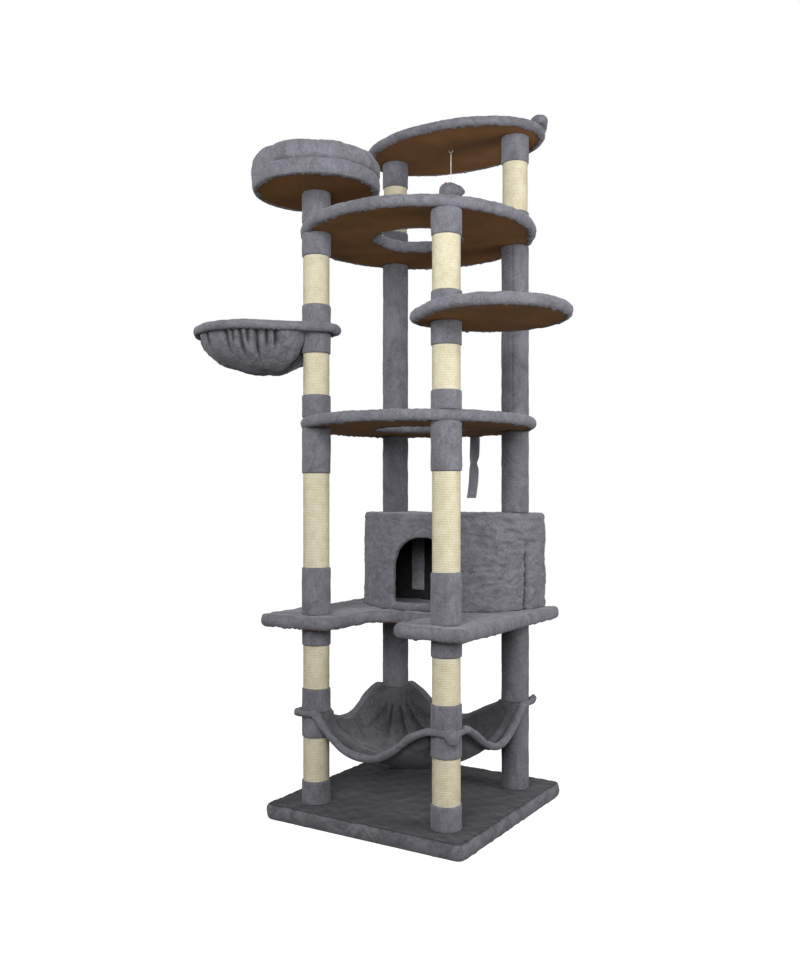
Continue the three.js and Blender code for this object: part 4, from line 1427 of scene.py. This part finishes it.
def settled_cloth(flat, count):
    """Hangs the square between its hems and clamped corners and lets its middle settle."""
    start = hammock_start(flat)
    pins = place_hems(flat, start)
    pins |= clamp_corners(flat, start)
    rng = np.random.default_rng(7)
    start[~pins, 2] += rng.normal(0, 0.4 * MM, (~pins).sum())
    cloth = new_mesh("cloth", start, grid_faces(count, count, closed_columns=False))
    group = cloth.vertex_groups.new(name="clamped")
    group.add([int(i) for i in np.flatnonzero(pins)], 1.0, "REPLACE")
    cloth.shape_key_add(name="hanging")
    rest = cloth.shape_key_add(name="flat")
    shape = np.column_stack([HAMMOCK["taut"] * flat + np.array(POST_CENTRE),
                             np.full(len(flat), HAMMOCK["z"])])
    rest.data.foreach_set("co", shape.ravel())
    settings = cloth.modifiers.new("cloth", "CLOTH").settings
    settings.vertex_group_mass = "clamped"
    settings.rest_shape_key = rest
    settings.quality = 8
    settings.mass = 0.4
    settings.tension_stiffness = settings.compression_stiffness = 20
    settings.shear_stiffness = 6
    settings.bending_stiffness = 18
    settings.air_damping = 3
    run_cloth(cloth, 45)
    points = points_of(cloth).reshape(count, count, 3)
    bpy.data.objects.remove(cloth)
    return points


def hammock_folds(fine, down, at, from_edge):
    """The cloth with folds that run from its corners, and how deep each point lies in one, for painted
    shade.
    """
    half, hole = HAMMOCK["half"], HAMMOCK["hole"]
    creased = np.zeros(from_edge.shape)
    for (sx, sy), depth in CORNER_FOLDS.items():
        u, v = at - half - sx * hole, at - half - sy * hole
        r = np.hypot(u[:, None], v[None, :])
        bearing = np.arctan2(-sy * v[None, :], -sx * u[:, None])
        wave = 0.5 - np.abs(np.sin(7.85 * bearing + 1.5 * r + 0.05 * sx))
        reach = (smoothstep(0.046, 0.07, r) * (1 - smoothstep(0.13, 0.27, r))
                 * smoothstep(0.024, 0.06, from_edge))
        # creased: where the corner folds get painted shade.
        creased = np.maximum(creased, reach * (0.5 + wave) * (depth > 0.02))
        fine = fine + down * (depth * reach * wave)[..., None]
    return fine, creased


def grid_border(size, inset=0):
    """The (row, column) pairs round a square grid, inset from its edge, in order."""
    low, high = inset, size - 1 - inset
    return ([(i, low) for i in range(low, high + 1)] + [(high, j) for j in range(low, high + 1)]
            + [(i, high) for i in range(high, low - 1, -1)]
            + [(low, j) for j in range(high, low - 1, -1)])


def make_hammock():
    """A padded, hemmed square of plush whose corners are clamped in the posts."""
    count, half = 53, HAMMOCK["half"]
    line = np.linspace(-half, half, count)
    flat = np.stack(np.meshgrid(line, line, indexing="ij"), -1).reshape(-1, 2)
    grid = settled_cloth(flat, count)
    # Lines across the cloth, by how far each is from its edge: close over the hem, then even.
    # The one numbered stitched runs along the groove inside the hem.
    edge = np.array([0, 1.5, 4, 7, 10.5, 14, 17.5, 20.5, 22.5, 24.5, 27, 31]) * MM
    stitched = 8
    inside = spaced(edge[-1], 2 * half - edge[-1], 6.5 * MM)[1:-1]
    at = np.concatenate([edge, inside, 2 * half - edge[::-1]])
    rows = at / (2 * half) * (count - 1)
    fine = smooth_rows(smooth_rows(grid, rows).transpose(1, 0, 2), rows).transpose(1, 0, 2)
    from_edge = np.minimum(at, 2 * half - at)
    from_edge = np.minimum(from_edge[:, None], from_edge[None, :])
    # The hem is a stuffed roll inside the edge; a stitched groove parts it from the padded middle.
    thickness = np.array([3, 9, 14, 18, 20, 19, 16, 11, 4, 5, 9, 10.5]) * MM
    padding = np.interp(from_edge, edge, thickness)
    for sx, sy in CORNER_LIFTS:
        u, v = at - half - sx * HAMMOCK["hole"], at - half - sy * HAMMOCK["hole"]
        away = smoothstep(0.038, 0.046, np.hypot(u[:, None], v[None, :]))
        padding = 3 * MM + (padding - 3 * MM) * away
    down = unit(np.cross(np.gradient(fine, axis=0), np.gradient(fine, axis=1)))
    fine, creased = hammock_folds(fine, down, at, from_edge)
    size = len(at)
    lumps = relief(fine.reshape(-1, 3), 40 * MM, 95).reshape(size, size) * 1.3 * MM
    top = fine + down * (padding / 2 + lumps * (padding > 4 * MM))[..., None]
    under = fine - down * (padding / 2)[..., None]
    points = np.concatenate([top, under]).reshape(-1, 3)
    quads = grid_faces(size, size, closed_columns=False)
    faces = [tuple(f) for f in quads] + [tuple(f + size * size) for f in quads[:, ::-1]]
    border = list(dict.fromkeys(i * size + j for i, j in grid_border(size)))
    for a, b in zip(border, border[1:] + border[:1]):
        faces.append((a, b, b + size * size, a + size * size))
    # The inside of the hammock takes the darker copy, painted shade; the hem stays lighter.
    is_hem = (from_edge < HAMMOCK["hem"] + 0.1 * MM).ravel()
    piece = new_mesh("hammock_plush", points, faces)
    finish_piece(piece, HAMMOCK_SHADED_PLUSH, ["hammock"])
    piece.data.materials.append(HEM_PLUSH)
    for face in piece.data.polygons:
        face.material_index = int(all(is_hem[i % (size * size)] for i in face.vertices))
    # Painted shade in the folds that run from the corners.
    mark_painted_fold_shade(piece, np.tile(creased.ravel(), 2))
    facing_out(piece)
    for word, side in (("above", 1), ("below", -1)):
        line = np.array([fine[i, j] + down[i, j] * side * (padding[i, j] / 2 + 0.4 * MM)
                         for i, j in grid_border(size, stitched)])
        stitches("hammock_stitches_" + word, line, THREAD, 5 * MM, 4 * MM, 0.9 * MM)


make_camera()
make_stage()
make_toy()
make_strap()
make_posts()
make_decks()
make_condo()
make_bed_bolster()
make_top_bolster()
make_basket()
make_hammock()
dress(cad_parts["toy_eye"], STEEL)
